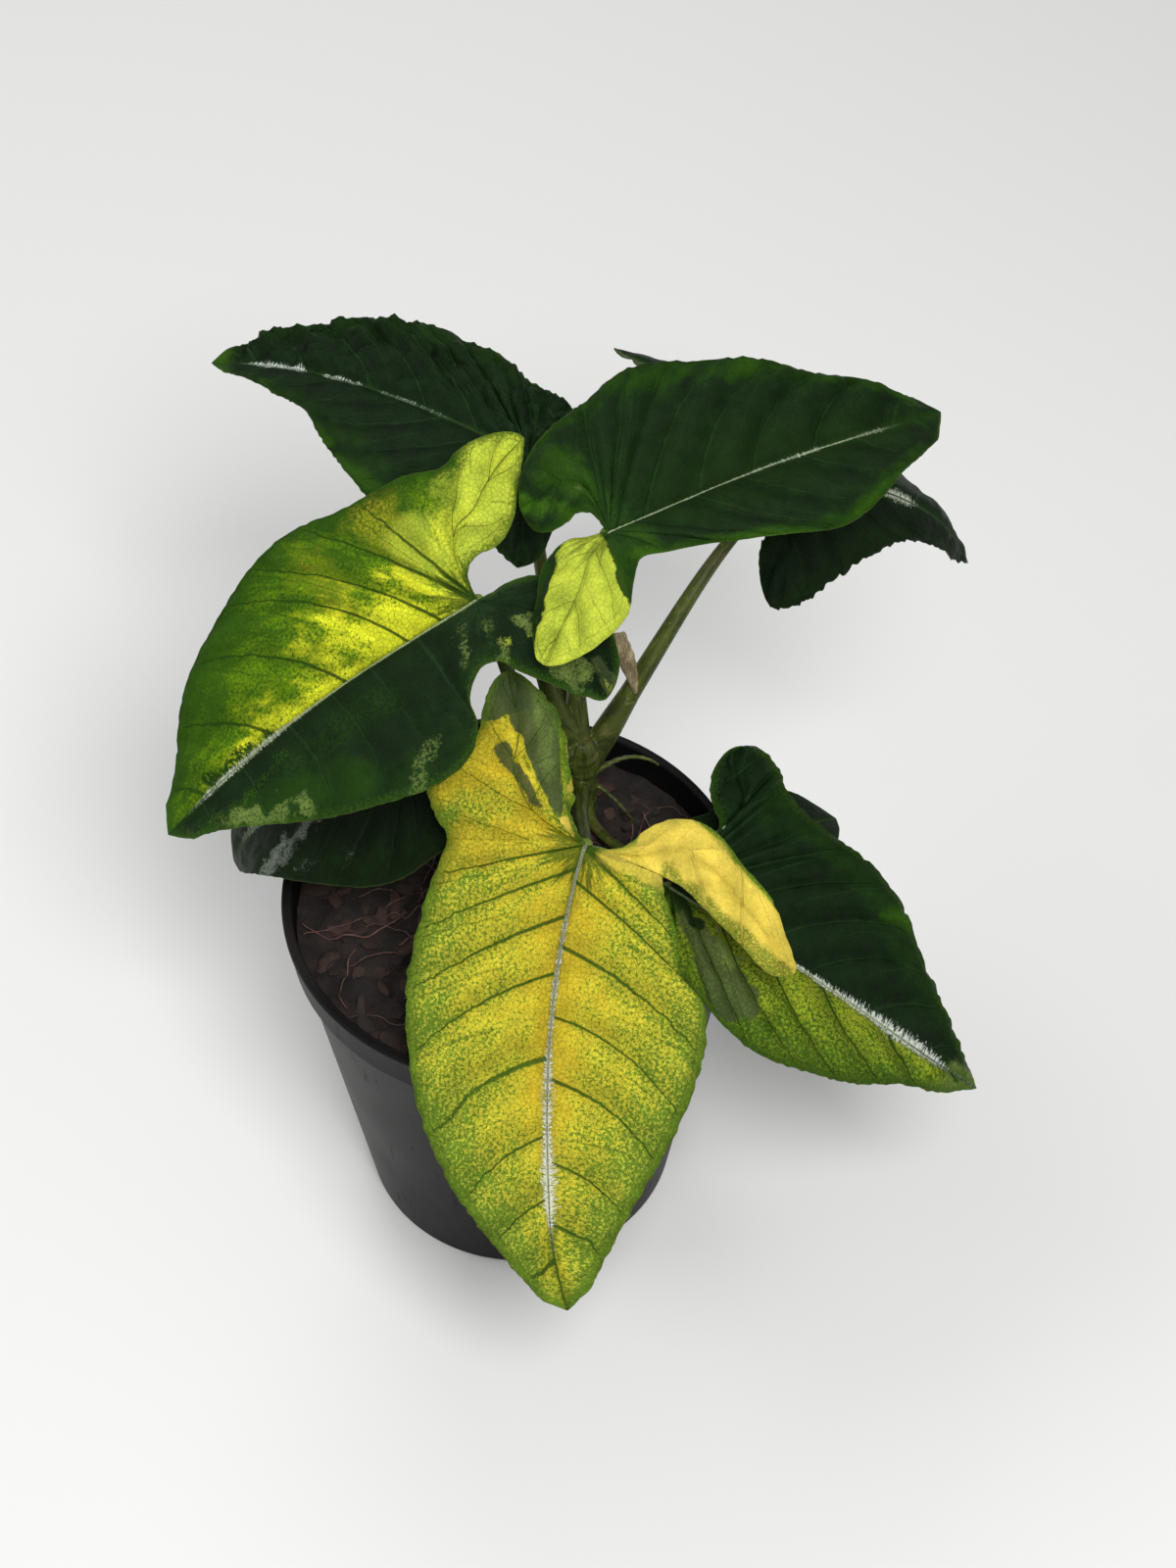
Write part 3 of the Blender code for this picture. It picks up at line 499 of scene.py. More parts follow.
        under = g.mix(look.under, (0.30, 0.38, 0.18), vein * 0.6 + line * 0.8 + lobe_vein * 0.5)
        under = g.mix(under, (0.05, 0.09, 0.03), (net * 0.3 + (cloud + 0.3) * 0.4))
        colour = g.mix(under, colour, face.rise(-0.1, 0.1))
        rough = grain * 0.24 + 0.30 + frost * 0.18 + face.fall(-0.1, 0.1) * 0.25
        relief = (fine * 0.35 + grain * 0.12 + cloud * 0.5 - vein * 0.35 - net * 0.10
                  - half_vein * 0.15 + frost * 0.12 - ring * 0.12)
        return g.finish(colour, rough, relief, self.relief, Specular_IOR_Level=self.gloss)

    def midrib(self, g: Graph, colour: Value, u: Value, share: Value, fine: Value,
               main: Value) -> tuple[Value, Value, Value]:
        """Draw the midrib's line and the frosted streaks beside it.

        Args:
            g: the material's graph.
            colour: the colour so far.
            u: mm to the right of the leaf's straight line.
            share: way to the leaf's tip, from 0 to 1.
            fine: fine noise that roughens the edges.
            main: 1 on the main lobe.

        Returns:
            The colour, the mask of the frost and that of the line.
        """
        mid = self.look.midrib
        bow = share.math("MAXIMUM", 0.0).math("MINIMUM", 1.0).math("POWER", mid.power) * math.pi
        off = (u - bow.math("SINE") * mid.sway).math("ABSOLUTE")
        width = share * (-0.72 * mid.width) + mid.width
        line = (off - width + (fine - 0.5) * 0.5).fall(-0.14, 0.14) * main
        green = (off - width).fall(-0.2, 1.3) * main
        colour = g.mix(colour, Tone.GREEN.value, green * 0.5)
        reach = g.ramp(share, tuple((at / self.length, size / 8.0) for at, size in mid.frost))
        streak = g.noise(g.join(share * 210.0 + off * 0.8, off * 0.6 + self.seed), 1.0, 5.0, 0.75,
                         flat=True)
        frost = (reach * 8.0 * (streak * 3.4 - 1.05) - off).rise(-0.1, 0.5) * main
        frost = frost * (fine * 1.1 + 0.35).math("MINIMUM", 1.0)
        colour = g.mix(colour, mid.frost_colour, frost * 0.82)
        tone = g.mix(self.look.left.vein, mid.colour, share.fall(0.62, 0.88))
        return g.mix(colour, tone, line * 0.92), frost, line


@dataclass(frozen=True)
class StalkFinish:
    """Petioles and stem: streaked green with dark lengthwise lines, browner at the nodes."""
    base: Colour = (0.062, 0.082, 0.009)
    dark: Colour = (0.020, 0.031, 0.005)
    warm: Colour = (0.17, 0.12, 0.045)
    fleck: Colour = (0.18, 0.22, 0.06)
    fresh: Colour = (0.16, 0.24, 0.04)   # just under a blade
    rough: float = 0.38

    def material(self, name: str) -> bpy.types.Material:
        """Make the material from Object coordinates and `run` = (mm along, way round, share).

        Args:
            name: the material's name.

        Returns:
            The material.
        """
        g = Graph(name)
        _, along, round_, share = g.attribute("run")
        streak = g.noise(g.join(along * 0.035, round_ * 5.0, along * 0.01), 2.4, 4.0, 0.62)
        mottle = g.noise(g.place(), 160.0, 3.0)
        fleck = g.noise(g.join(along * 0.5, round_ * 22.0), 1.0, 2.0, flat=True)
        colour: Value | Colour = self.base
        for tone, cover in ((self.dark, streak.rise(0.44, 0.64) * 0.85),
                            (self.warm, mottle.rise(0.56, 0.72) * 0.35),
                            (self.fleck, fleck.rise(0.64, 0.70) * 0.35),
                            (self.fresh, share.rise(0.86, 1.0) * 0.6),
                            (self.warm, share.fall(0.0, 0.10) * 0.35)):
            colour = g.mix(colour, tone, cover)
        return g.finish(colour, mottle * 0.25 + (self.rough - 0.1), streak * 0.7 + mottle * 0.3,
                        0.0004, Specular_IOR_Level=0.25)


@dataclass(frozen=True)
class EarthyFinish:
    """Rough matter that varies between two colours: soil, bark chips, roots and the dry sheath."""
    dark: Colour
    light: Colour
    scale: float                         # coarse bumps to a metre
    rough: float = 0.9
    relief: float = 0.0006               # in metres
    stretch: tuple[float, float, float] = (1.0, 1.0, 1.0)
    tints: tuple[Colour, ...] = ()       # two colours that the `tint` attribute goes between

    def material(self, name: str) -> bpy.types.Material:
        """Make the material from Object coordinates.

        Args:
            name: the material's name.

        Returns:
            The material.
        """
        g = Graph(name)
        place = g.vector("MULTIPLY", g.place(), self.stretch)
        coarse = g.noise(place, self.scale, 4.0, 0.65)
        fine = g.noise(place, self.scale * 6, 3.0, 0.6)
        colour = g.mix(self.dark, self.light, (coarse * 0.7 + fine * 0.5 - 0.1).rise(0.35, 0.75))
        if self.tints:
            colour = g.mix(colour, g.mix(*self.tints, g.attribute("tint")[1]), 0.60)
        return g.finish(colour, fine * 0.2 + (self.rough - 0.1), coarse * 0.6 + fine * 0.4,
                        self.relief)


@dataclass(frozen=True)
class PotFinish:
    """Moulded black plastic: satin, with faint scuffs, dust towards the rim and a fine grain."""
    black: Colour = (0.0045, 0.0045, 0.0048)
    dust: Colour = (0.040, 0.034, 0.029)

    def material(self, name: str) -> bpy.types.Material:
        """Make the material from Object coordinates.

        Args:
            name: the material's name.

        Returns:
            The material.
        """
        g = Graph(name)
        place = g.place()
        height = g.parts(place)[2]
        grain = g.noise(place, 900.0, 2.0)
        cloud = g.noise(place, 22.0, 4.0, 0.6)
        scuff = g.noise(g.vector("MULTIPLY", place, (260.0, 260.0, 14.0)), 1.0, 3.0, 0.7)
        smudge = cloud.rise(0.46, 0.72) * height.rise(0.02, 0.15)
        colour = g.mix(self.black, self.dust, smudge * 0.22 + scuff.rise(0.66, 0.74) * 0.14)
        rough = cloud * 0.20 + 0.34 + scuff.rise(0.6, 0.75) * 0.15
        return g.finish(colour, rough, grain * 0.4 + scuff * 0.3, 0.00012, Specular_IOR_Level=0.09)


Finish = LeafFinish | StalkFinish | EarthyFinish | PotFinish


@dataclass(frozen=True)
class Bend:
    """A roll of the flat leaf over the line through `at` square to `toward`.

    toward is 0 for the tip, 90 for the right, 180 for the base and 270 for the left. What lies
    beyond the line turns by `angle` degrees, up if positive, over `length` mm, and goes on
    straight after it. side 1 or -1 keeps the roll to the right or left half.
    """
    at: Pair
    toward: float
    length: float
    angle: float
    side: int = 0

    def roll(self, points: np.ndarray, flat: np.ndarray, sides: np.ndarray) -> np.ndarray:
        """Roll the sheet: x = r sin a + rest cos a - z sin a, z = r (1 - cos a) + rest sin a
        + z cos a.

        Args:
            points: (n, 3) points of the sheet in mm, rolled so far.
            flat: (n, 2) places on the flat leaf.
            sides: 1 for points of the right half and -1 for the left.

        Returns:
            The rolled points.
        """
        turn = math.radians(self.toward)
        way = np.array([math.sin(turn), math.cos(turn)])
        beyond = (flat - np.array(self.at)) @ way
        if self.side:
            beyond = np.where(sides * self.side > 0, beyond, 0.0)
        rolled = np.clip(beyond, 0.0, self.length)
        radius = self.length / math.radians(self.angle)
        angle = rolled / radius
        along = (points[:, :2] - np.array(self.at)) @ way
        rest, height = along - rolled, points[:, 2]
        across = radius * np.sin(angle) + rest * np.cos(angle) - height * np.sin(angle)
        lifted = radius * (1 - np.cos(angle)) + rest * np.sin(angle) + height * np.cos(angle)
        out = points.copy()
        out[:, :2] += np.where(beyond > 0, across - along, 0.0)[:, None] * way
        out[:, 2] = np.where(beyond > 0, lifted, height)
        return out


def folds(right: float, left: float, camber_right: float, camber_left: float,
          width: float) -> tuple[Bend, ...]:
    """Rolls that fold a blade at its midrib and let its halves curve down to the margin.

    Args:
        right: degrees by which the right half folds up.
        left: degrees by which the left half folds up.
        camber_right: degrees by which the right half curves up towards its margin.
        camber_left: the same for the left half.
        width: mm over which they do.

    Returns:
        The four rolls.
    """
    return (Bend((2, 0), 90, width, camber_right, 1), Bend((-2, 0), 270, width, camber_left, -1),
            Bend((0, 0), 90, 4, right, 1), Bend((0, 0), 270, 4, left, -1))


def curve_length(curve: np.ndarray) -> float:
    """Length of a line of points."""
    return np.linalg.norm(np.diff(curve, axis=0), axis=1).sum()


def along_curve(curve: np.ndarray, parts: np.ndarray) -> np.ndarray:
    """Points of a curve at the given fractions of its length."""
    run = np.concatenate([[0], np.cumsum(np.linalg.norm(np.diff(curve, axis=0), axis=1))])
    at = np.asarray(parts) * run[-1]
    return np.stack([np.interp(at, run, curve[:, i]) for i in range(curve.shape[1])], 1)


def smooth_through(points: tuple, steps: int) -> np.ndarray:
    """Centripetal Catmull-Rom curve: knots lie the root of each chord apart.

    Args:
        points: the points that the curve goes through.
        steps: how many pieces each stretch between two points is cut into.

    Returns:
        The points of the curve.
    """
    p = np.array(points, float)
    p = np.vstack([2 * p[0] - p[1], p, 2 * p[-1] - p[-2]])
    knots = np.concatenate([[0], np.cumsum(np.sqrt(np.linalg.norm(np.diff(p, axis=0), axis=1)))])
    count = len(p) - 3
    p0, p1, p2, p3 = (p[k:k + count, None] for k in range(4))
    a, b, c, d = (knots[k:k + count, None, None] for k in range(4))
    t = b + (c - b) * np.arange(steps)[None, :, None] / steps
    ab = ((b - t) * p0 + (t - a) * p1) / (b - a)
    bc = ((c - t) * p1 + (t - b) * p2) / (c - b)
    cd = ((d - t) * p2 + (t - c) * p3) / (d - c)
    abc = ((c - t) * ab + (t - a) * bc) / (c - a)
    bcd = ((d - t) * bc + (t - b) * cd) / (d - b)
    curve = ((c - t) * abc + (t - b) * bcd) / (c - b)
    return np.vstack([curve.reshape(-1, p.shape[1]), p[-2:-1]])


def ripple(flat: np.ndarray, length: float, seed: int) -> np.ndarray:
    """Smooth unevenness from -1 to 1: sum of 9 sine waves in set directions.

    Args:
        flat: (n, 2) places.
        length: about how long the waves are.
        seed: seed of their directions, phases and lengths.

    Returns:
        The height at each place.
    """
    rng = np.random.default_rng(seed)
    turn, phase = rng.uniform(0, TURN, (2, 9))
    scale = TURN / (length * rng.uniform(0.6, 1.5, 9))
    waves = np.stack([np.cos(turn) * scale, np.sin(turn) * scale])
    return np.sin(flat @ waves + phase).sum(-1) / 4.5


@dataclass(frozen=True)
class Half:
    """One side of the flat outline, from the petiole's seat round to the leaf's tip, in mm."""
    inner: tuple[Pair, ...]              # along the notch to the basal lobe's tip
    outer: tuple[Pair, ...]              # on to the sinus
    main: tuple[Pair, ...]               # on to the leaf's tip

    def mirrored(self) -> "Half":
        """The same outline on the other side of the midrib."""
        return Half(*(tuple((-u, v) for u, v in edge)
                      for edge in (self.inner, self.outer, self.main)))

    def edges(self, steps: int = 16) -> tuple[np.ndarray, np.ndarray, np.ndarray]:
        """The three edges as dense curves: notch to lobe tip, to sinus, to leaf tip."""
        curve = smooth_through(self.inner + self.outer + self.main, steps)
        lobe = steps * (len(self.inner) - 1)
        sinus = lobe + steps * len(self.outer)
        return curve[:lobe + 1], curve[lobe:sinus + 1], curve[sinus:]


@dataclass(frozen=True)
class Petiole:
    """The stalk of a leaf, from the stem to under its blade, in mm."""
    height: float                        # where it leaves the stem
    leaves: tuple[float, float, float]   # direction in which it sets off
    reach: Pair                          # how far it keeps its direction at the stem and the blade
    sheath: float                        # length of its foot that is grown to the stem
    thick: Pair = (2.6, 1.7)             # radius at the stem and at the blade
    seat_drop: float = 0.85              # from the blade's middle surface to the petiole's end
    arrives: tuple[float, float, float] | None = None


def grid_quads(rows: int, columns: int) -> np.ndarray:
    """Corners of the four-sided faces of a grid of points, row by row."""
    a = (np.arange(rows - 1)[:, None] * columns + np.arange(columns - 1)[None, :]).reshape(-1)
    return np.stack([a, a + 1, a + columns + 1, a + columns], 1)


@dataclass(frozen=True)
class Grid:
    """Points on ribs that run from their feet to the margin, with what the finish reads there.

    flat holds (u, v), and the numbers are the rib number, the way along the rib, mm between two
    ribs, mm from the foot, mm to the margin and the fraction of the margin from the notch on.
    """
    flat: np.ndarray
    numbers: np.ndarray
    turned: bool

    @classmethod
    def on_ribs(cls, feet: np.ndarray, margin: np.ndarray, lean: np.ndarray, count: np.ndarray,
                along: np.ndarray, across: int, turned: bool) -> "Grid":
        """Ribs (1-t)^2 foot + 2 t (1-t) middle + t^2 margin, whose chord starts `lean` degrees off.

        Args:
            feet: (rows, 2) starts of the ribs.
            margin: (rows, 2) ends of the ribs.
            lean: degrees between each rib's start and its chord, clockwise.
            count: rib number of each row.
            along: fraction of the margin at each row.
            across: pieces that each rib is cut into.
            turned: whether the faces have to be turned over.

        Returns:
            The grid.
        """
        chord, turn = margin - feet, np.radians(lean)
        wide = np.stack([chord[:, 0] * np.cos(turn) + chord[:, 1] * np.sin(turn),
                         chord[:, 1] * np.cos(turn) - chord[:, 0] * np.sin(turn)], 1)
        t = np.linspace(0, 1, across + 1)
        t = (t - 0.35 / TURN * np.sin(TURN * t))[None, :, None]
        middle = (feet + 0.5 * wide)[:, None]
        flat = (1 - t) ** 2 * feet[:, None] + 2 * t * (1 - t) * middle + t ** 2 * margin[:, None]
        step = np.linalg.norm(np.diff(flat, axis=1), axis=2)
        run = np.concatenate([np.zeros((len(feet), 1)), np.cumsum(step, axis=1)], 1)
        slope = np.gradient(flat, axis=0) / np.gradient(count)[:, None, None]
        rib = np.gradient(flat, axis=1)
        rib /= np.linalg.norm(rib, axis=2)[:, :, None] + 1e-9
        gap = np.abs(slope[..., 0] * rib[..., 1] - slope[..., 1] * rib[..., 0])
        full = np.ones_like(run)
        numbers = np.stack([count[:, None] * full, t[..., 0] * full, gap, run, run[:, -1:] - run,
                            along[:, None] * full], 2)
        return cls(flat, numbers, turned)

    def triangles(self) -> np.ndarray:
        """Triangles as numbers of grid points, each quad cut so that neither half is folded."""
        quad = grid_quads(*self.flat.shape[:2])
        places = self.flat.reshape(-1, 2)[quad]
        sign = -1.0 if self.turned else 1.0

        def area(i: int, j: int, k: int) -> np.ndarray:
            """Signed area of the triangle of three corners of each quad."""
            p, q = places[:, j] - places[:, i], places[:, k] - places[:, i]
            return sign * (p[:, 0] * q[:, 1] - p[:, 1] * q[:, 0])

        first = np.minimum(area(0, 1, 2), area(0, 2, 3))
        second = np.minimum(area(0, 1, 3), area(1, 2, 3))
        cuts = np.where((first >= second)[:, None], [0, 1, 2, 0, 2, 3], [0, 1, 3, 1, 2, 3])
        tris = np.take_along_axis(quad, cuts, 1).reshape(-1, 3)
        return tris[:, ::-1] if self.turned else tris


@dataclass(frozen=True)
class Sheet:
    """The flat leaf as one mesh, before it is made uneven and rolled."""
    flat: np.ndarray                     # (n, 2) places of all grids' points
    numbers: np.ndarray                  # (n, 6) what Grid holds for each
    side: np.ndarray                     # 1 or -1 for each
    first: np.ndarray                    # the grid point of each merged point
    tri: np.ndarray                      # triangles of merged points
    source: np.ndarray                   # the grid points of those triangles' corners


@dataclass(frozen=True)
class Leaf:
    """A leaf: its blade's seat, facing, outline, rolls and waves, its petiole and its look."""
    name: str
    seat: tuple[float, float, float]
    heading: float                       # of the midrib: 0 is +Y, 90 is +X
    pitch: float                         # of the midrib at the seat, up if positive
    roll: float                          # lifts the right half if positive
    right: Half
    left: Half
    bends: tuple[Bend, ...]
    wave: Pair                           # height in mm and number of waves on each side
    petiole: Petiole
    look: Look
    main_rows: int = 84
    lobe_rows: int = 40
    across: int = 20
    thick: Pair = (0.62, 0.26)           # of the blade by the midrib and at the margin, in mm
    lean: float = 22                     # degrees by which a rib starts off its chord

    @property
    def length(self) -> float:
        """Length of the flat blade from its seat to its tip."""
        return self.right.main[-1][1]

    @property
    def seed(self) -> int:
        """A number of the leaf's own for its unevenness."""
        return int(self.heading) + 7

    def facing(self) -> np.ndarray:
        """Matrix whose columns are the leaf's right, forward and upward directions."""
        heading, pitch, roll = (math.radians(a) for a in (self.heading, self.pitch, self.roll))
        forward = np.array([math.sin(heading) * math.cos(pitch),
                            math.cos(heading) * math.cos(pitch), math.sin(pitch)])
        level = np.array([math.cos(heading), -math.sin(heading), 0.0])
        right = math.cos(roll) * level + math.sin(roll) * np.cross(level, forward)
        return np.stack([right, forward, np.cross(right, forward)], 1)

    def grids(self, half: Half, side: int) -> tuple[Grid, Grid, Grid]:
        """Grids of one half: main lobe, outer edge and inner edge of the basal lobe.

        The feet of the main ribs lie on the midrib's line at length * ((s - fan) / (1 - fan)) ^
        (1 + 2.5 fan), so the first ribs fan out from the seat. The basal lobe's ribs start on
        the line halfway between its edges.

        Args:
            half: the outline.
            side: 1 for the right half and -1 for the left.

        Returns:
            The three grids.
        """
        inner, outer, main = half.edges()
        notch, lobe, blade = (curve_length(edge) for edge in (inner, outer, main))
        whole, turned = notch + lobe + blade, side < 0
        s = 1 - (1 - np.linspace(0, 1, self.main_rows + 1)) ** 1.15
        fan = self.look.fan[0 if side > 0 else 1]
        up = (np.maximum(s - fan, 0) / (1 - fan)) ** (1 + 2.5 * fan)
        feet = np.stack([self.look.midrib.line(up), self.length * up], 1)
        lean = self.lean * side * np.clip(s / 0.5, 0, 1) ** 2 * (1 - s ** 6)
        main_grid = Grid.on_ribs(feet, along_curve(main, s), lean, 0.5 + self.look.ribs * s,
                                 (notch + lobe + blade * s) / whole, self.across, turned)
        s = np.linspace(0, 1, self.lobe_rows + 1)
        near, far = along_curve(inner, s), along_curve(outer[::-1], s)
        middle = near + 0.5 * (1 - (1 - s[:, None]) ** 4) * (far - near)
        count = 0.5 + (0.4 * self.look.ribs) * s
        return (main_grid,
                Grid.on_ribs(middle, far, 0 * s, count, (notch + lobe * (1 - s)) / whole,
                             self.across, not turned),
                Grid.on_ribs(middle, near, 0 * s, count, notch * s / whole, self.across, turned))

    def sheet(self) -> Sheet:
        """Join the grids of both halves, and merge points that share a place on one half or on
        the midrib."""
        flats, numbers, sides, tris, first = [], [], [], [], 0
        for side, half in ((1, self.right), (-1, self.left)):
            for grid in self.grids(half, side):
                flats.append(grid.flat.reshape(-1, 2))
                numbers.append(grid.numbers.reshape(-1, 6))
                sides.append(np.full(len(flats[-1]), float(side)))
                tris.append(grid.triangles() + first)
                first += len(flats[-1])
        flat, number, side, tri = (np.concatenate(a) for a in (flats, numbers, sides, tris))
        middle = (number[:, 3] < 1e-4) | (flat[:, 1] > self.length - 1e-3)
        middle &= flat[:, 1] >= -1e-4
        key = np.column_stack([np.round(flat, 3), np.where(middle, 0.0, side)])
        _, keep, index = np.unique(key, axis=0, return_index=True, return_inverse=True)
        merged = index.reshape(-1)[tri]
        whole = (merged != np.roll(merged, 1, axis=1)).all(1)
        return Sheet(flat, number, side, keep, merged[whole], tri[whole])

    def blade(self) -> bpy.types.Object:
        """Make the blade: its sheet, made uneven, rolled and given a thickness.

        The upper side lies half the thickness above the sheet and the lower side as far below
        it, with a ridge exp(-(a / 1.1)^2) under the midrib, a being mm from it.

        Returns:
            The blade.
        """
        sheet = self.sheet()
        number, side = sheet.numbers[sheet.first], sheet.side[sheet.first]
        places, tri, source = sheet.flat[sheet.first], sheet.tri, sheet.source
        lift, out = self.unevenness(sheet.flat, sheet.numbers, sheet.side)
        points = np.column_stack([places + out[sheet.first], lift[sheet.first]])
        rolled = np.where(places[:, 1] > 0, places[:, 0], side)
        for bend in self.bends:
            points = bend.roll(points, places, rolled)
        normal = sheet_normals(points, tri)
        a, margin = number[:, 3], number[:, 4]
        body = self.thick[1] + (self.thick[0] - self.thick[1]) * np.clip(margin / 9, 0, 1) ** 0.6
        ridge = np.where(places[:, 1] > -1, 1.0, 0.55) * (1 - 0.75 * number[:, 5])
        ridge = np.maximum(0, ridge) * np.exp(-(a / 1.1) ** 2) * np.clip(margin / 5, 0, 1)
        upper = points + normal * (body / 2)[:, None]
        lower = points - normal * (body / 2 + 0.9 * ridge)[:, None]
        count = len(points)
        walls, wall_source = closing_walls(tri, source, count)
        every = np.concatenate([tri, tri[:, ::-1] + count, walls])
        corner = np.concatenate([source, source[:, ::-1], wall_source]).reshape(-1)
        above = np.ones(len(every) * 3)
        above[len(tri) * 3:len(tri) * 6] = -1.0
        place = np.vstack([upper, lower]) @ self.facing().T + np.array(self.seat)
        blade = add_mesh(f"blade_{self.name}", place * MM, every)
        number = sheet.numbers[corner]
        give(blade, "flat", np.column_stack([sheet.flat[corner], above]))
        give(blade, "ribs", number[:, :3])
        give(blade, "reach", np.column_stack([number[:, 3:5], sheet.side[corner]]))
        return blade

    def unevenness(self, flat: np.ndarray, number: np.ndarray,
                   side: np.ndarray) -> tuple[np.ndarray, np.ndarray]:
        """Work out how far the sheet and its margin are from flat and smooth.

        Height = waves sin(2 pi n along) t^2 + quilting |sin(pi rib)| 4t(1-t) + wrinkles - groove
        exp(-(a / 1.6)^2) along the midrib, and the margin moves out by small teeth, sines summed
        along it.

        Args:
            flat: (n, 2) places on the flat leaf.
            number: (n, 6) what Grid holds there.
            side: 1 for points of the right half and -1 for the left.

        Returns:
            Height of the sheet and the shift of its margin, both in mm.
        """
        rib, t, _, a, margin, along = number.T
        height, count = self.wave
        look, right = self.look, side > 0
        lift = height * np.sin(TURN * count * along + side) * t ** 2
        lift *= np.clip((self.length - flat[:, 1]) / 8, 0, 1)
        inside = np.clip(margin / 3, 0, 1) * np.clip(a / 3, 0, 1)
        bent = rib - np.where(flat[:, 1] > -0.5, 0.0, 1.1 * t) + 0.4 * (side < 0)
        quilt = look.quilt * np.abs(np.sin(math.pi * bent)) ** 0.7
        lift += quilt * inside * (4 * t * (1 - t)) ** 0.5
        bulges = 1.3 * np.abs(ripple(flat, 17.0, self.seed + 4)) - 0.4
        lift += np.where(right, *look.wrinkle) * inside ** 0.5 * (
            bulges + 0.6 * ripple(flat, 9.0, self.seed) * (0.3 + t)
            + 0.35 * ripple(flat, 4.2, self.seed + 1))
        lift -= 0.55 * np.exp(-(a / 1.6) ** 2) * np.clip(margin / 6, 0, 1)
        run = np.column_stack([along * 260, side * 40.0])
        shift = np.where(right, *look.teeth) * t ** 12
        shift *= np.clip((self.length - flat[:, 1]) / 6, 0, 1)
        shift *= 0.6 * ripple(run, 3.4, self.seed + 2) + 0.6 * ripple(run, 9.0, self.seed + 3)
        outward = np.column_stack([side * 0.9, 0.3 * np.ones_like(side)])
        return lift, outward * shift[:, None]


def sheet_normals(points: np.ndarray, tri: np.ndarray) -> np.ndarray:
    """Unit normals of a sheet's points: the sum of the cross products of their triangles.

    Args:
        points: (n, 3) points.
        tri: the triangles.

    Returns:
        (n, 3) normals.
    """
    a, b, c = points[tri[:, 0]], points[tri[:, 1]], points[tri[:, 2]]
    normal = np.cross(b - a, c - a)
    total = np.stack([sum(np.bincount(tri[:, k], normal[:, i], len(points)) for k in range(3))
                      for i in range(3)], 1)
    return total / (np.linalg.norm(total, axis=1)[:, None] + 1e-12)


def closing_walls(tri: np.ndarray, source: np.ndarray,
                  count: int) -> tuple[np.ndarray, np.ndarray]:
    """Two triangles along each open edge of a sheet, from its upper to its lower points.

    Args:
        tri: triangles of the sheet.
        source: where each corner's attributes come from.
        count: number of points of the sheet; the lower ones follow the upper.

    Returns:
        The walls' triangles and the sources of their corners.
    """
    a, b, sa, sb = (np.concatenate([x[:, (i + step) % 3] for i in range(3)])
                    for x, step in ((tri, 0), (tri, 1), (source, 0), (source, 1)))
    edge = ~np.isin(a * count + b, b * count + a)
    a, b, sa, sb = a[edge], b[edge], sa[edge], sb[edge]
    walls = np.concatenate([np.stack([a, a + count, b + count], 1), np.stack([a, b + count, b], 1)])
    return walls, np.concatenate([np.stack([sa, sa, sb], 1), np.stack([sa, sb, sb], 1)])


def add_mesh(name: str, points: np.ndarray, faces: np.ndarray) -> bpy.types.Object:
    """Make a named object at the origin, shaded smooth.

    Args:
        name: the object's name.
        points: (n, 3) points in metres.
        faces: faces of one size as numbers of points.

    Returns:
        The object.
    """
    mesh = bpy.data.meshes.new(name)
    mesh.from_pydata(points.astype(float).tolist(), [], faces.tolist())
    mesh.update()
    mesh.shade_smooth()
    made = bpy.data.objects.new(name, mesh)
    bpy.context.scene.collection.objects.link(made)
    return made


def give(piece: bpy.types.Object, name: str, values: np.ndarray, domain: str = "CORNER") -> None:
    """Store a vector for each corner or point of a piece's mesh."""
    made = piece.data.attributes.new(name, "FLOAT_VECTOR", domain)
    made.data.foreach_set("vector", np.ascontiguousarray(values, np.float32).reshape(-1))


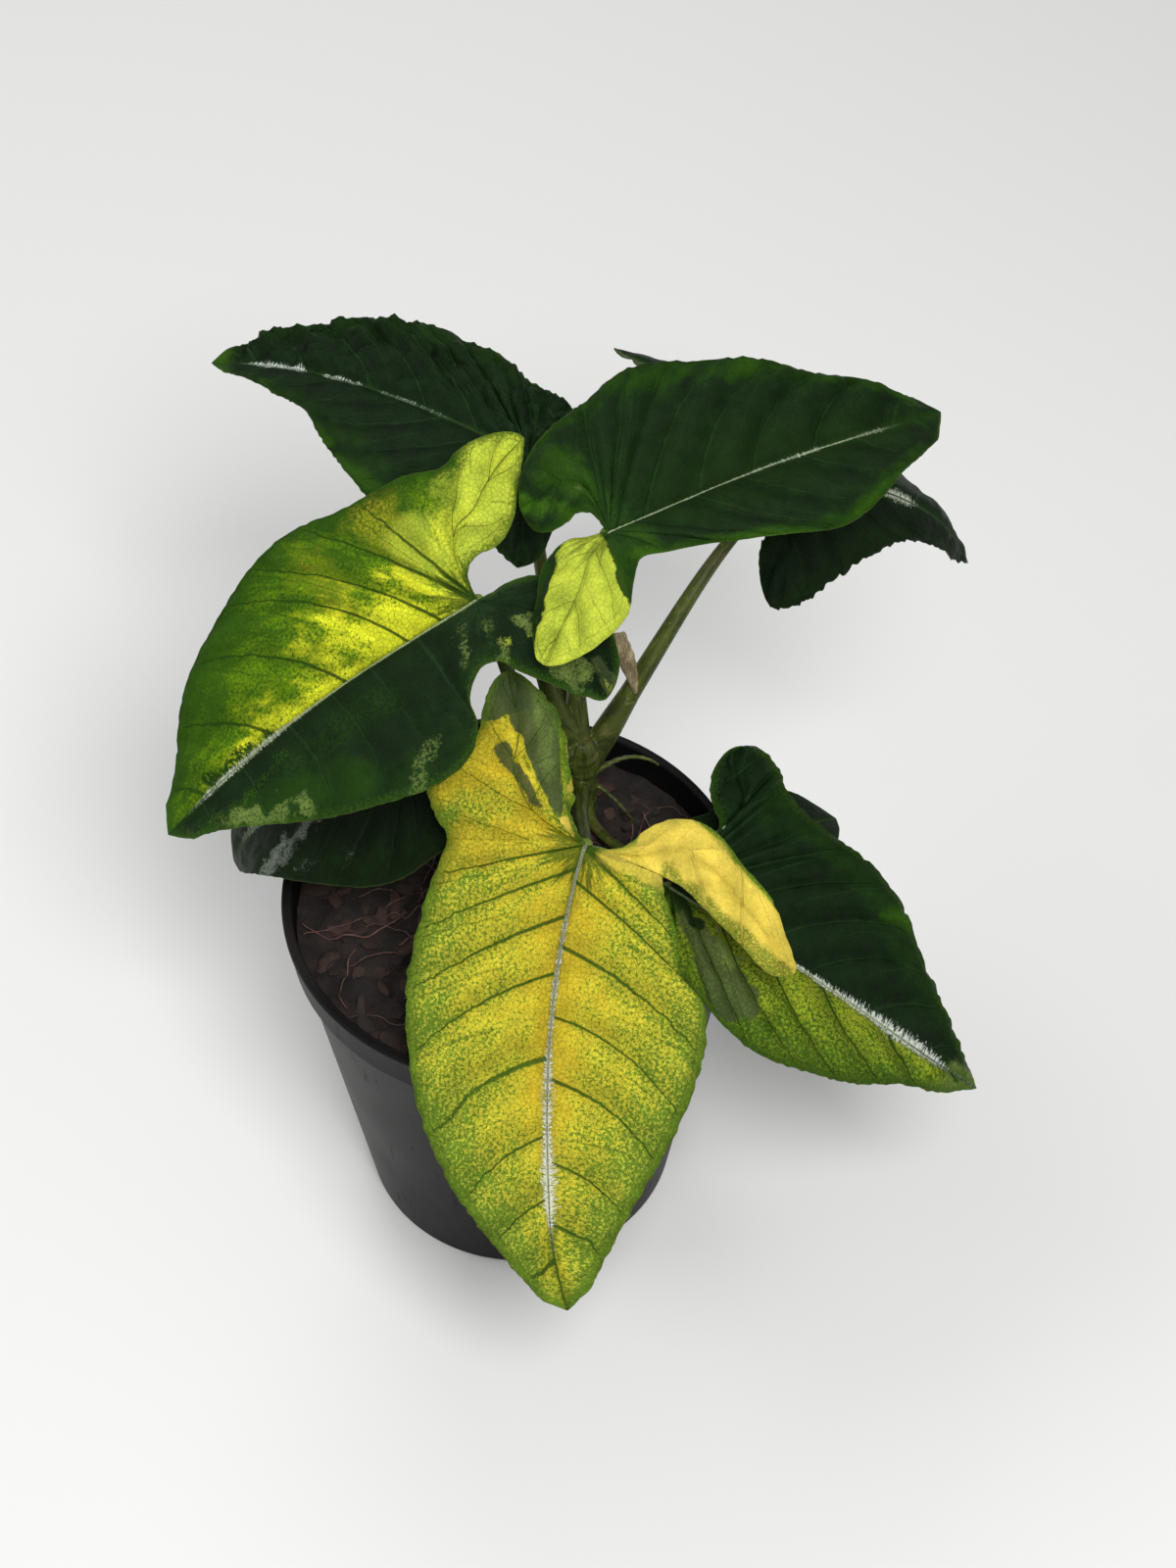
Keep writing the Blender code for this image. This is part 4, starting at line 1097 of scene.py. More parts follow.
LOOKS = {
    "front": Look(
        right=GOLD, left=GOLD, ribs=8, fan=(0.1, 0.12), quilt=0.9, wrinkle=(0.30, 0.30),
        teeth=(0.85, 0.55),
        midrib=Midrib(8.3, 0.45, 0.66, (0.30, 0.32, 0.20),
                      ((0, 0.2), (14, 0.4), (24, 1.3), (60, 1.3), (70, 2.1), (80, 2.5), (86, 1.9),
                       (98, 3.1), (110, 2.9), (119, 0.6), (130, 0.0)), (0.80, 0.82, 0.68)),
        patches=patches(
            (30, -28, 52, -14, 9, 7, Tone.ORANGE, 2.5, 0.5, 3.0),
            (4, 24, 8, 80, 5, 7, Tone.ORANGE, 4.0, 0.30, 3.0),
            (-6, 3, -34, 6, 2.0, 11, Tone.CREAM, 1.5, 0.65, 1.6),
            (-26, -2, -61, 36, 10, 12, Tone.CREAM, 1.0, 0.95, 0.8),
            (-25, 7, -61, 37, 2.2, 3.8, Tone.BRIGHT, 1.8, 0.80, 1.0, 0.36),
            (20, -2, 42, 3, 6, 7, Tone.ORANGE, 5.0, 0.45, 4.0),
            (-25, 12, -31, 38, 1.2, 2.2, Tone.BRIGHT, 2.2, 0.8, 0.9, 0.5),
            (8, -6, 20, -48, 0.8, 9.5, Tone.SAGE, 1.0, 0.95),
            (18, -47, 32, -42, 6, 5.5, Tone.SAGE, 1.0, 0.95),
            (4, -3, 7, -7, 1.0, 1.8, Tone.CREAM, 0.6, 0.95),
            (12, -20, 16, -50, 1.5, 5.0, Tone.PALE_SAGE, 3.0, 0.55, 1.5),
            (12, -9, 23, -31, 0.4, 2.4, Tone.YELLOW, 1.0, 0.95),
            (10, -5, 27, -28, 0.5, 2.6, Tone.SAGE, 1.4, 0.9),
            (12, -11, 20, -26, 0.3, 1.2, Tone.BRIGHT, 0.8, 0.8),
            (4.5, -9, 5.5, -30, 0.6, 1.3, Tone.CREAM, 1.6, 0.8),
        )),
    "left": Look(
        right=LIME, left=DARK, ribs=7, fan=(0.2, 0.0), quilt=1.0, wrinkle=(0.32, 0.30),
        teeth=(0.45, 0.35),
        midrib=Midrib(0.8, 0.5, 0.46, (0.36, 0.42, 0.22),
                      ((0, 0.2), (50, 0.4), (64, 0.8), (84, 1.2), (100, 1.0), (110, 0.4),
                       (118, 0))),
        patches=patches(
            (8, -6, 36, -32, 6, 15, Tone.PALE_LIME, 5.0, 0.85, 3.4),
            (18, -3, 34, -14, 6, 6, Tone.PALE_LIME, 7.0, 0.55, 5.0),
            (22, 10, 42, 12, 4, 8, Tone.YELLOW, 9.0, 0.45, 5.0, 0.50),
            (20, 34, 40, 38, 3, 5, Tone.YELLOW, 9.0, 0.35, 5.0, 0.55),
            (2, 4, 28, 6, 1.5, 8, Tone.PALE_LIME, 3.0, 0.55, 3.0),
            (38, -14, 43, -30, 2.0, 2.2, Tone.GREEN, 4.0, 0.85, 1.2, 0.55),
            (41, -22, 48, 6, 2.0, 3.0, Tone.GREEN, 4.0, 0.8, 1.6, 0.5),
            (18, -24, 26, -30, 0.6, 1.0, Tone.BRIGHT, 2.2, 0.5, 0.6, 0.5),
            (1.2, 76, 1.6, 100, 1.2, 1.4, Tone.GREEN, 4.0, 1.0, 0.4, 0.35),
            (-4, 1, -24, 1, 0.8, 2.0, Tone.PALE_SAGE, 5.0, 0.7, 0.9, 0.45),
            (-7, 8, -19, 13, 1.2, 2.0, Tone.PALE_SAGE, 5.0, 0.6, 0.9, 0.5),
            (-14, -8, -40, -14, 1.5, 5.0, Tone.PALE_SAGE, 4.0, 0.7, 0.8, 0.38),
            (-18, 0, -26, -11, 0.8, 2.0, Tone.PALE_LIME, 5.0, 0.7, 0.7, 0.5),
            (-36, -20, -50, -21, 1.0, 3.4, Tone.SAGE, 1.6, 0.9, 0.5),
            (-40, -20, -50, -20, 0.4, 1.0, Tone.PALE_LIME, 1.6, 0.7, 0.4, 0.3),
            (-30, 60, -8, 108, 8.0, 5.0, Tone.GREEN, 5.0, 0.6, 3.0),
            (-34, 34, -46, 46, 2.4, 3.2, Tone.PALE_SAGE, 6.0, 0.65, 1.0, 0.50),
            (-12, 40, -15, 92, 6.0, 9.0, Tone.GREEN, 9.0, 0.55, 3.0, 0.50),
            (-26, 78, -14, 98, 2.4, 3.6, Tone.PALE_SAGE, 6.0, 0.80, 1.2, 0.40),
            (-9, 98, -5, 110, 1.6, 2.0, Tone.PALE_SAGE, 6.0, 0.5, 1.0, 0.55),
            (-6, 74, -10, 92, 1.2, 2.4, Tone.BRIGHT, 6.0, 0.6, 1.0, 0.55),
        )),
    "upper_right": Look(
        right=GREEN, left=GREEN, ribs=8, fan=(0.16, 0.2), quilt=1.3, wrinkle=(0.40, 0.80),
        teeth=(0.25, 0.65),
        midrib=Midrib(1.0, 0.5, 0.34, (0.42, 0.48, 0.32),
                      ((0, 0.0), (10, 0.1), (16, 0.5), (40, 0.6), (72, 0.8), (76, 0.1), (96, 0.6),
                       (100, 0.0)), (0.62, 0.68, 0.52)),
        patches=patches(
            (2, 2, 14, 4, 7, 6, Tone.BRIGHT, 4.0, 0.45, 3.0),
            (5, -10, 33, -28, 8.5, 18, Tone.PALE_LIME, 1.6, 0.95, 0.6),
            (4, 0, 27, -5, 3.0, 4.8, Tone.GREEN, 1.2, 0.97),
            (14, -20, 24, -36, 3.0, 5.0, Tone.BRIGHT, 5.0, 0.3, 2.0, 0.5),
            (-6, 2, -24, -4, 3.0, 7, Tone.BRIGHT, 5.0, 0.40, 4.0, 0.2),
            (-10, -8, -26, -24, 1.5, 4, Tone.BRIGHT, 3.0, 0.75, 2.4),
            (-16, -2, -22, 0, 0.8, 1.2, Tone.PALE_SAGE, 4.0, 0.35, 0.8, 0.4),
            (-30, 58, -33, 67, 1.5, 3.5, Tone.BRIGHT, 4.0, 0.35, 2.0, 0.3),
            (14, 2, 36, 50, 1.4, 2.4, Tone.BRIGHT, 3.0, 0.7, 2.4),
            (39, 56, 10, 112, 1.2, 0.8, Tone.BRIGHT, 3.0, 0.7, 1.8),
            (-24, 96, -4, 114, 1.6, 2.0, Tone.BRIGHT, 3.0, 0.5, 2.0),
        )),
    "upper_left": Look(
        right=DARK, left=DARK, ribs=8, quilt=1.6, wrinkle=(2.6, 0.60), teeth=(1.2, 0.5),
        midrib=Midrib(1.6, 0.5, 0.42, (0.020, 0.045, 0.014),
                      ((0, 0.0), (29, 0.0), (32, 0.6), (56, 0.6), (59, 0.0), (63, 0.0), (65, 0.8),
                       (79, 0.9), (81, 0.0), (86, 0.0), (88, 1.3), (104, 1.1), (118, 0.1)),
                      (0.84, 0.90, 0.80)),
        patches=patches(
            (-6, 116, 0, 126, 2.0, 4, Tone.BRIGHT, 2.6, 0.6, 2.0),
            (-42, 14, -32, 52, 2.4, 2.4, Tone.BRIGHT, 2.2, 0.6, 2.4),
            (-26, 60, -8, 98, 2.0, 1.6, Tone.BRIGHT, 2.2, 0.6, 2.0),
        )),
    "right": Look(
        right=GREEN_GOLD, left=DARK, ribs=8, quilt=2.2, wrinkle=(0.45, 0.60), teeth=(0.7, 0.7),
        midrib=Midrib(1.6, 0.5, 0.5, (0.20, 0.26, 0.13),
                      ((0, 0.2), (14, 0.5), (38, 0.9), (58, 1.6), (80, 2.2), (98, 1.9), (110, 0.3)),
                      (0.74, 0.78, 0.70)),
        patches=patches(
            (3, 3, 26, 32, 2.5, 9, Tone.SAGE, 3.0, 0.85, 0.6, 0.2),
            (2, 2, 8, 12, 2.0, 3.0, Tone.DARK, 2.4, 0.9, 0.5),
            (9, 17, 14, 27, 0.8, 3.2, Tone.PALE_SAGE, 3.0, 0.8, 0.5, 0.3),
            (2, 6, 6, 20, 0.3, 0.8, Tone.SILVER, 3.0, 0.6, 0.4, 0.4),
            (20, 48, 30, 46, 1.2, 3.2, Tone.GREEN, 4.0, 0.5, 1.5, 0.4),
            (39, 30, 37, 62, 0.5, 0.6, Tone.PALE_LIME, 1.0, 0.6),
            (-28, 64, -32, 72, 1.5, 4, Tone.BRIGHT, 3.6, 0.6, 2.2),
            (1, 110, 1, 122, 2.2, 3, Tone.PALE_SAGE, 1.6, 0.8, 1.6),
        )),
    "far_right": Look(
        right=DEEP, left=DARK, ribs=6, quilt=0.6, wrinkle=(0.45, 0.40), teeth=(1.1, 0.6),
        midrib=Midrib(0.6, 0.5, 0.6, (0.022, 0.048, 0.016),
                      ((0, 0.2), (24, 0.4), (28, 2.4), (38, 2.6), (44, 0.4), (60, 0.0)))),
    "lower_left": Look(
        right=DEEP, left=DEEP, ribs=6, quilt=0.4, wrinkle=(0.30, 0.30), teeth=(0.25, 0.25),
        midrib=Midrib(0.8, 0.5, 0.5, (0.16, 0.20, 0.13),
                      ((0, 0.3), (24, 1.8), (40, 3.0), (60, 2.0), (74, 0.0)), (0.24, 0.27, 0.20)),
        patches=patches(
            (-9, 32, -18, 54, 1.0, 3.2, Tone.SILVER, 8.0, 0.75, 2.2, 0.38),
            (-28, 20, -28, 25, 1.0, 2.0, Tone.SILVER, 5.0, 0.5, 0.5, 0.6),
            (-26, 33, -23, 44, 1.0, 1.8, Tone.SILVER, 5.0, 0.5, 0.5, 0.6),
        )),
    "low_right": Look(
        right=DEEP, left=DEEP, ribs=5, quilt=0.25, wrinkle=(0.15, 0.15), teeth=(0.12, 0.12),
        midrib=Midrib(0.3, 0.5, 0.4, (0.16, 0.22, 0.10), ((0, 0.2), (20, 0.9), (38, 0.2)))),
    "back": Look(
        right=DARK, left=DARK, ribs=7, quilt=0.45, wrinkle=(0.30, 0.30), teeth=(0.20, 0.20),
        midrib=Midrib(0.8, 0.5, 0.55, (0.30, 0.36, 0.24),
                      ((0, 0.2), (40, 1.4), (64, 2.2), (86, 0.3)))),
}


YOUNG_HALF = Half(
    inner=((0, 0), (6, -5), (11, -10), (15, -12)),
    outer=((18, -8), (18, -3), (17, 2)),
    main=((19, 10), (19, 20), (14, 32), (6, 41), (0, 46)),
)
BACK_HALF = Half(
    inner=((0, 0), (5, -12), (12, -21), (22, -26), (29, -24)),
    outer=((34, -15), (34, -5), (32, 4)),
    main=((35, 16), (36, 30), (32, 48), (24, 66), (13, 84), (0, 100)),
)
LEAVES = (
    Leaf(
        "front", (23, -18, 185), 183, -35, 0,
        right=Half(
            inner=((0, 0), (5, -9), (4, -16), (6, -24), (7, -32), (11, -41), (19, -49), (26, -52)),
            outer=((32, -45), (34, -34), (39, -27), (47, -20), (49, -13), (45, -6), (42, 0)),
            main=((48, 18), (52, 45), (49, 76), (39, 101), (24, 122), (9, 137), (0, 144)),
        ),
        left=Half(
            inner=((0, 0), (-7, 1), (-12, 0), (-21, -7), (-31, -9), (-39, -6), (-48, 4), (-57, 14),
                   (-62, 26), (-65, 36)),
            outer=((-58, 37), (-48, 28), (-38, 19), (-29, 11), (-24, 9)),
            main=((-29, 26), (-31, 38), (-38, 47), (-39, 58), (-32, 84), (-17, 112), (-5, 134),
                  (0, 144)),
        ),
        bends=(Bend((0, 45), 0, 95, -22),) + folds(12, 12, -14, -14, 30),
        wave=(1.2, 5),
        petiole=Petiole(143, (-0.1, -0.9, 0.45), (18, 18), 9), look=LOOKS["front"],
    ),
    Leaf(
        "left", (-10, 36, 236), 245, -22, 12,
        right=Half(
            inner=((0, 0), (8, -2), (12, -7), (11, -14), (15, -22), (23, -30), (29, -36),
                   (34, -39)),
            outer=((39, -36), (44, -29), (46, -20), (44, -12), (48, -2), (49, 5)),
            main=((51, 20), (54, 37), (50, 59), (40, 81), (26, 98), (10, 112), (0, 123)),
        ),
        left=Half(
            inner=((0, 0), (-1, -11), (-3, -18), (-9, -26), (-20, -31), (-34, -30), (-46, -25),
                   (-52, -17)),
            outer=((-47, -11), (-39, -6), (-30, 0), (-23, 4)),
            main=((-22, 9), (-29, 17), (-37, 19), (-44, 26), (-46, 40), (-39, 62), (-28, 82),
                  (-17, 98), (-7, 111), (0, 123)),
        ),
        bends=(Bend((0, 30), 0, 90, -24), Bend((0, -6), 180, 30, 14, 1),
               Bend((0, -6), 180, 30, -32, -1)) + folds(12, 12, -14, -14, 35),
        wave=(1.0, 5),
        petiole=Petiole(150, (-0.58, -0.18, 0.8), (40, 26), 24, (3.4, 1.8)), look=LOOKS["left"],
    ),
    Leaf(
        "upper_right", (30, 46, 255), 62, 5, -15,
        right=Half(
            inner=((0, 0), (-1, -7), (-3, -12), (-2, -19), (2, -27), (9, -34), (18, -39),
                   (26, -41)),
            outer=((32, -37), (35, -30), (36, -22), (34, -12), (24, -4), (16, 3)),
            main=((17, 10), (20, 20), (28, 33), (34, 50), (35, 62), (30, 77), (16, 97), (4, 114),
                  (0, 123)),
        ),
        left=Half(
            inner=((0, 0), (-7, -2), (-9, -6), (-8, -11), (-8, -16), (-12, -20), (-20, -20)),
            outer=((-29, -15), (-36, -5), (-41, 6), (-43, 14)),
            main=((-46, 26), (-46, 38), (-42, 52), (-36, 66), (-27, 82), (-17, 98), (-8, 111),
                  (0, 123)),
        ),
        bends=(Bend((0, 30), 0, 90, -24), Bend((0, -5), 180, 30, -38, 1),
               Bend((0, -4), 180, 26, -40, -1)) + folds(26, 10, -10, -14, 35),
        wave=(1.2, 5),
        petiole=Petiole(154, (-0.42, 0.2, 0.88), (80, 14), 30, (3.6, 2.2), seat_drop=1.6),
        look=LOOKS["upper_right"],
    ),
    Leaf(
        "upper_left", (5, 99, 236), 300, 1, 6,
        right=Half(
            inner=((0, 0), (7, -5), (13, -7), (18, -7), (22, -3)),
            outer=((24, 5), (26, 14), (29, 24)),
            main=((31, 35), (32, 50), (31, 66), (26, 84), (18, 104), (9, 119), (0, 128)),
        ),
        left=Half(
            inner=((0, 0), (-6, -12), (-15, -19), (-26, -23), (-36, -24), (-41, -20)),
            outer=((-38, -10), (-34, 1), (-34, 10)),
            main=((-39, 20), (-40, 34), (-33, 49), (-25, 62), (-17, 73), (-12, 84), (-7, 99),
                  (-3, 114), (0, 128)),
        ),
        bends=(Bend((0, 30), 0, 90, -24), Bend((0, -6), 180, 30, -24))
              + folds(10, 10, -14, -14, 35),
        wave=(1.0, 6),
        petiole=Petiole(152, (-0.3, 0.75, 0.75), (40, 26), 24, (3.2, 1.8)),
        look=LOOKS["upper_left"],
    ),
    Leaf(
        "right", (49, -13, 158), 112, -21, -15,
        right=Half(
            inner=((0, 0), (5, -10), (11, -17), (19, -19)),
            outer=((26, -13), (28, -3), (28, 8)),
            main=((32, 20), (37, 36), (38, 50), (34, 65), (24, 83), (13, 97), (4, 110), (0, 122)),
        ),
        left=Half(
            inner=((0, 0), (-12, 2), (-21, 5), (-27, 4), (-33, -2), (-41, -5), (-49, -4), (-54, 0)),
            outer=((-56, 6), (-54, 13), (-49, 18)),
            main=((-44, 28), (-42, 40), (-42, 52), (-36, 66), (-21, 87), (-10, 102), (-4, 112),
                  (0, 122)),
        ),
        bends=(Bend((0, 30), 0, 90, -24), Bend((0, -6), 180, 30, -15))
              + folds(24, 10, -10, -14, 35),
        wave=(1.0, 5),
        petiole=Petiole(137, (-0.22, -0.96, 0.16), (40, 22), 9, (2.4, 1.6), seat_drop=1.2),
        look=LOOKS["right"],
    ),
    Leaf(
        "far_right", (90, 96, 230), 93, -5, -18,
        right=Half(
            inner=((0, 0), (9, -4), (17, -9), (27, -13), (38, -12)),
            outer=((43, -4), (40, 6), (34, 14)),
            main=((28, 22), (20, 31), (13, 42), (9, 56), (6, 73), (0, 88)),
        ),
        left=Half(
            inner=((0, 0), (-8, -6), (-14, -15), (-20, -21), (-28, -22)),
            outer=((-34, -14), (-35, -5), (-33, 3)),
            main=((-34, 14), (-32, 27), (-28, 41), (-21, 55), (-13, 69), (-5, 80), (0, 88)),
        ),
        bends=folds(-18, -34, -14, -18, 30) + (
            Bend((0, 8), 0, 60, -66), Bend((0, -4), 180, 22, -50, 1),
            Bend((0, -6), 180, 30, -20, -1)),
        wave=(1.0, 5),
        petiole=Petiole(150, (0.56, 0.40, 0.90), (70, 30), 30, (4.2, 1.5), seat_drop=2.2,
                        arrives=(0.8, 0.3, 0.5)), look=LOOKS["far_right"],
    ),
    Leaf(
        "lower_left", (-33, 24, 178), 262, -24, 12,
        right=Half(
            inner=((0, 0), (8, -10), (16, -14), (23, -12)),
            outer=((30, -6), (34, 3), (35, 12)),
            main=((38, 22), (34, 36), (27, 49), (17, 62), (8, 73), (0, 80)),
        ),
        left=Half(
            inner=((0, 0), (-7, -10), (-15, -15), (-25, -16)),
            outer=((-32, -14), (-37, -8), (-39, -2)),
            main=((-41, 8), (-40, 20), (-36, 31), (-29, 43), (-20, 56), (-11, 68), (0, 80)),
        ),
        bends=(Bend((0, 34), 0, 48, -58), Bend((0, -6), 180, 30, -20))
              + folds(10, 10, -14, -14, 35),
        wave=(1.0, 4),
        petiole=Petiole(147, (-0.85, -0.15, 0.45), (22, 18), 10), look=LOOKS["lower_left"],
    ),
    Leaf(
        "low_right", (70, 8, 148), 55, -6, -6,
        right=YOUNG_HALF,
        left=YOUNG_HALF.mirrored(),
        bends=(Bend((0, 12), 0, 34, -30), Bend((0, -3), 180, 12, 8)) + folds(8, 8, -10, -10, 16),
        wave=(0.5, 3),
        petiole=Petiole(133, (0.25, -0.97, 0.0), (34, 9), 9, (2.0, 1.2), seat_drop=1.4),
        look=LOOKS["low_right"],
    ),
    Leaf(
        "back", (67, 137, 232), 18, -46, 0,
        right=BACK_HALF,
        left=BACK_HALF.mirrored(),
        bends=(Bend((0, 30), 0, 70, -22), Bend((0, -6), 180, 30, -12))
              + folds(10, 10, -12, -12, 30),
        wave=(1.0, 5),
        petiole=Petiole(154, (-0.14, 0.35, 0.92), (90, 30), 28, (3.2, 1.7)), look=LOOKS["back"],
    ),
)


SPROUT = (22.0, 42.0)                    # where the stem leaves the soil, in mm
SOIL_TOP = 127.0


def turns(count: int) -> np.ndarray:
    """Angles of `count` places spread evenly around a circle."""
    return np.linspace(0, TURN, count, endpoint=False)


def unit(way: tuple | np.ndarray) -> np.ndarray:
    """A direction brought to length 1."""
    return np.array(way) / np.linalg.norm(way)


def bezier(start: np.ndarray, start_to: np.ndarray, end_from: np.ndarray, end: np.ndarray,
           count: int) -> np.ndarray:
    """Cubic curve (1-t)^3 a + 3 t (1-t)^2 b + 3 t^2 (1-t) c + t^3 d.

    Args:
        start: the point a that it starts from.
        start_to: the point b that it sets off to.
        end_from: the point c that it arrives from.
        end: the point d that it ends at.
        count: number of pieces.

    Returns:
        Its count + 1 points.
    """
    t = np.linspace(0, 1, count + 1)[:, None]
    a, b, c, d = (np.array(p, float) for p in (start, start_to, end_from, end))
    return (1 - t) ** 3 * a + 3 * t * (1 - t) ** 2 * b + 3 * t ** 2 * (1 - t) * c + t ** 3 * d


def ring_faces(rings: int, sides: int) -> np.ndarray:
    """Triangles of a skin of rings of points, closed by two poles that are the last points.

    Args:
        rings: number of rings.
        sides: number of points of each.

    Returns:
        The triangles as numbers of points. They face outwards where the rings run anticlockwise
        as seen from the last one.
    """
    i, k = np.meshgrid(np.arange(rings - 1), np.arange(sides), indexing="ij")
    a, b = (i * sides + k).reshape(-1), (i * sides + (k + 1) % sides).reshape(-1)
    k = np.arange(sides)
    m, last, pole = (k + 1) % sides, (rings - 1) * sides, 0 * k + rings * sides
    return np.concatenate([np.stack([a, b, b + sides], 1), np.stack([a, b + sides, a + sides], 1),
                           np.stack([m, k, pole], 1), np.stack([last + k, last + m, pole + 1], 1)])


def tube(path: np.ndarray, radius: np.ndarray, sides: int) -> Mesh:
    """Skin of a tube: centre + r(s, a) (cos a * side + sin a * other), with closed ends.

    Args:
        path: (n, 3) points of its middle line.
        radius: (n, sides) or (n, 1) distance of the skin from it.
        sides: number of points around it.

    Returns:
        Its points, two poles last, and its faces as triangles that point outwards.
    """
    tangent = np.gradient(path, axis=0)
    tangent /= np.linalg.norm(tangent, axis=1)[:, None]
    level = np.cross(path[-1] - path[0], (0.0, 0.0, 1.0))
    if np.linalg.norm(level) < 1e-3 * np.linalg.norm(path[-1] - path[0]):
        level = np.array([1.0, 0.0, 0.0])
    side = level - tangent * (tangent @ level)[:, None]
    side /= np.linalg.norm(side, axis=1)[:, None]
    other = np.cross(tangent, side)
    angle = turns(sides)
    ring = (np.cos(angle)[None, :, None] * side[:, None]
            + np.sin(angle)[None, :, None] * other[:, None])
    points = path[:, None] + ring * np.broadcast_to(radius, (len(path), sides))[..., None]
    points = np.vstack([points.reshape(-1, 3), path[:1], path[-1:]])
    return points, ring_faces(len(path), sides)


def merged(parts: list[Mesh]) -> Mesh:
    """Points and faces of several meshes as one."""
    starts = np.cumsum([0] + [len(p) for p, _ in parts])
    return (np.concatenate([p for p, _ in parts]),
            np.concatenate([f + s for (_, f), s in zip(parts, starts)]))


def settle(piece: bpy.types.Object) -> None:
    """Make what the modifiers show the piece's own mesh, shaded smooth."""
    seen = piece.evaluated_get(bpy.context.evaluated_depsgraph_get())
    made = bpy.data.meshes.new_from_object(seen)
    piece.modifiers.clear()
    piece.data = made
    made.name = piece.name
    made.shade_smooth()


def declare(piece: bpy.types.Object, finish: Finish, slot: str, *nodes: str) -> None:
    """Give a piece its finish, attach it to the root body and hide the CAD nodes that it takes the
    place of.

    Args:
        piece: the piece.
        finish: what its skin looks like.
        slot: not used.
        nodes: names of the CAD nodes that it takes the place of.
    """
    piece.data.materials.append(finish.material(piece.name))
    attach(piece, "root")
    if nodes:
        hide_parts(*nodes)
    LOG.info("%s: %d faces", piece.name, len(piece.data.polygons))


@dataclass(frozen=True)
class Foliage:
    """All blades with their petioles."""
    leaves: tuple[Leaf, ...]
    sides: int = 24                      # points around a petiole
    spans: int = 72                      # pieces along it
    groove: Pair = (0.16, 0.42)          # share of the radius, and half its width in radians
    rib: float = 0.015                   # height of the fine ribs as a share of the radius
    finish: StalkFinish = StalkFinish()

    def line(self, leaf: Leaf) -> np.ndarray:
        """Middle line of a petiole from inside the stem to just under its blade, in mm."""
        stalk, up = leaf.petiole, leaf.facing()[:, 2]
        start = np.array([*SPROUT, stalk.height])
        last = up if stalk.arrives is None else unit(stalk.arrives)
        end = np.array(leaf.seat) - up * stalk.seat_drop
        return bezier(start, start + unit(stalk.leaves) * stalk.reach[0],
                      end - last * stalk.reach[1], end, 120)

    def radii(self, leaf: Leaf, parts: np.ndarray) -> np.ndarray:
        """Radius high + (low - high) (1 - s)^1.1, with a groove on top and fine ribs around.

        Args:
            leaf: the leaf that the petiole carries.
            parts: (n,) shares s of the way from the stem to the blade.

        Returns:
            (n, sides) radii in mm.
        """
        low, high = leaf.petiole.thick
        size = (high + (low - high) * (1 - np.clip(parts, 0, 1)) ** 1.1)[:, None]
        angle = turns(self.sides)[None, :]
        depth, wide = self.groove
        groove = np.exp(-((angle - math.pi / 2) / wide) ** 2)
        return size * (1 - depth * groove + self.rib * np.cos(8 * angle))

    def petiole(self, leaf: Leaf) -> bpy.types.Object:
        """Make a petiole from the end of its sheath to its blade, stouter just under the blade.

        Args:
            leaf: the leaf that it carries.

        Returns:
            The petiole.
        """
        line = self.line(leaf)
        whole = curve_length(line)
        parts = np.linspace((leaf.petiole.sheath - 2.0) / whole, 1.0, self.spans + 1)
        path = along_curve(line, parts)
        wobble = 0.25 * np.sin(np.linspace(0, 9, self.spans + 1) + leaf.seed)[:, None]
        ends = np.sin(math.pi * np.linspace(0, 1, self.spans + 1))[:, None]
        path += wobble * ends * np.array([0.6, 0.6, 0.2])
        left = (1 - parts) * whole
        flare = 0.55 * np.exp(-((left / 3.0) ** 2)) + 0.18 * np.exp(-(((left - 9) / 5.0) ** 2))
        points, faces = tube(path, self.radii(leaf, parts) + flare[:, None], self.sides)
        piece = add_mesh(f"stalk_{leaf.name}", points * MM, faces)
        angle = np.tile(np.arange(self.sides) / self.sides, self.spans + 1)
        angle = np.minimum(angle, 1 - angle)
        run = np.column_stack([np.repeat(parts * whole, self.sides), angle,
                               np.repeat(parts, self.sides)])
        poles = [[parts[0] * whole, 0, parts[0]], [whole, 0, 1.0]]
        give(piece, "run", np.vstack([run, poles]), "POINT")
        return piece

    def build(self) -> None:
        """Build and declare every leaf."""
        for leaf in self.leaves:
            skin = LeafFinish(leaf.look, leaf.length, leaf.seed)
            declare(leaf.blade(), skin, f"leaf_{leaf.name}", f"leaf_{leaf.name}")
            declare(self.petiole(leaf), self.finish, "petiole", f"petiole_{leaf.name}")


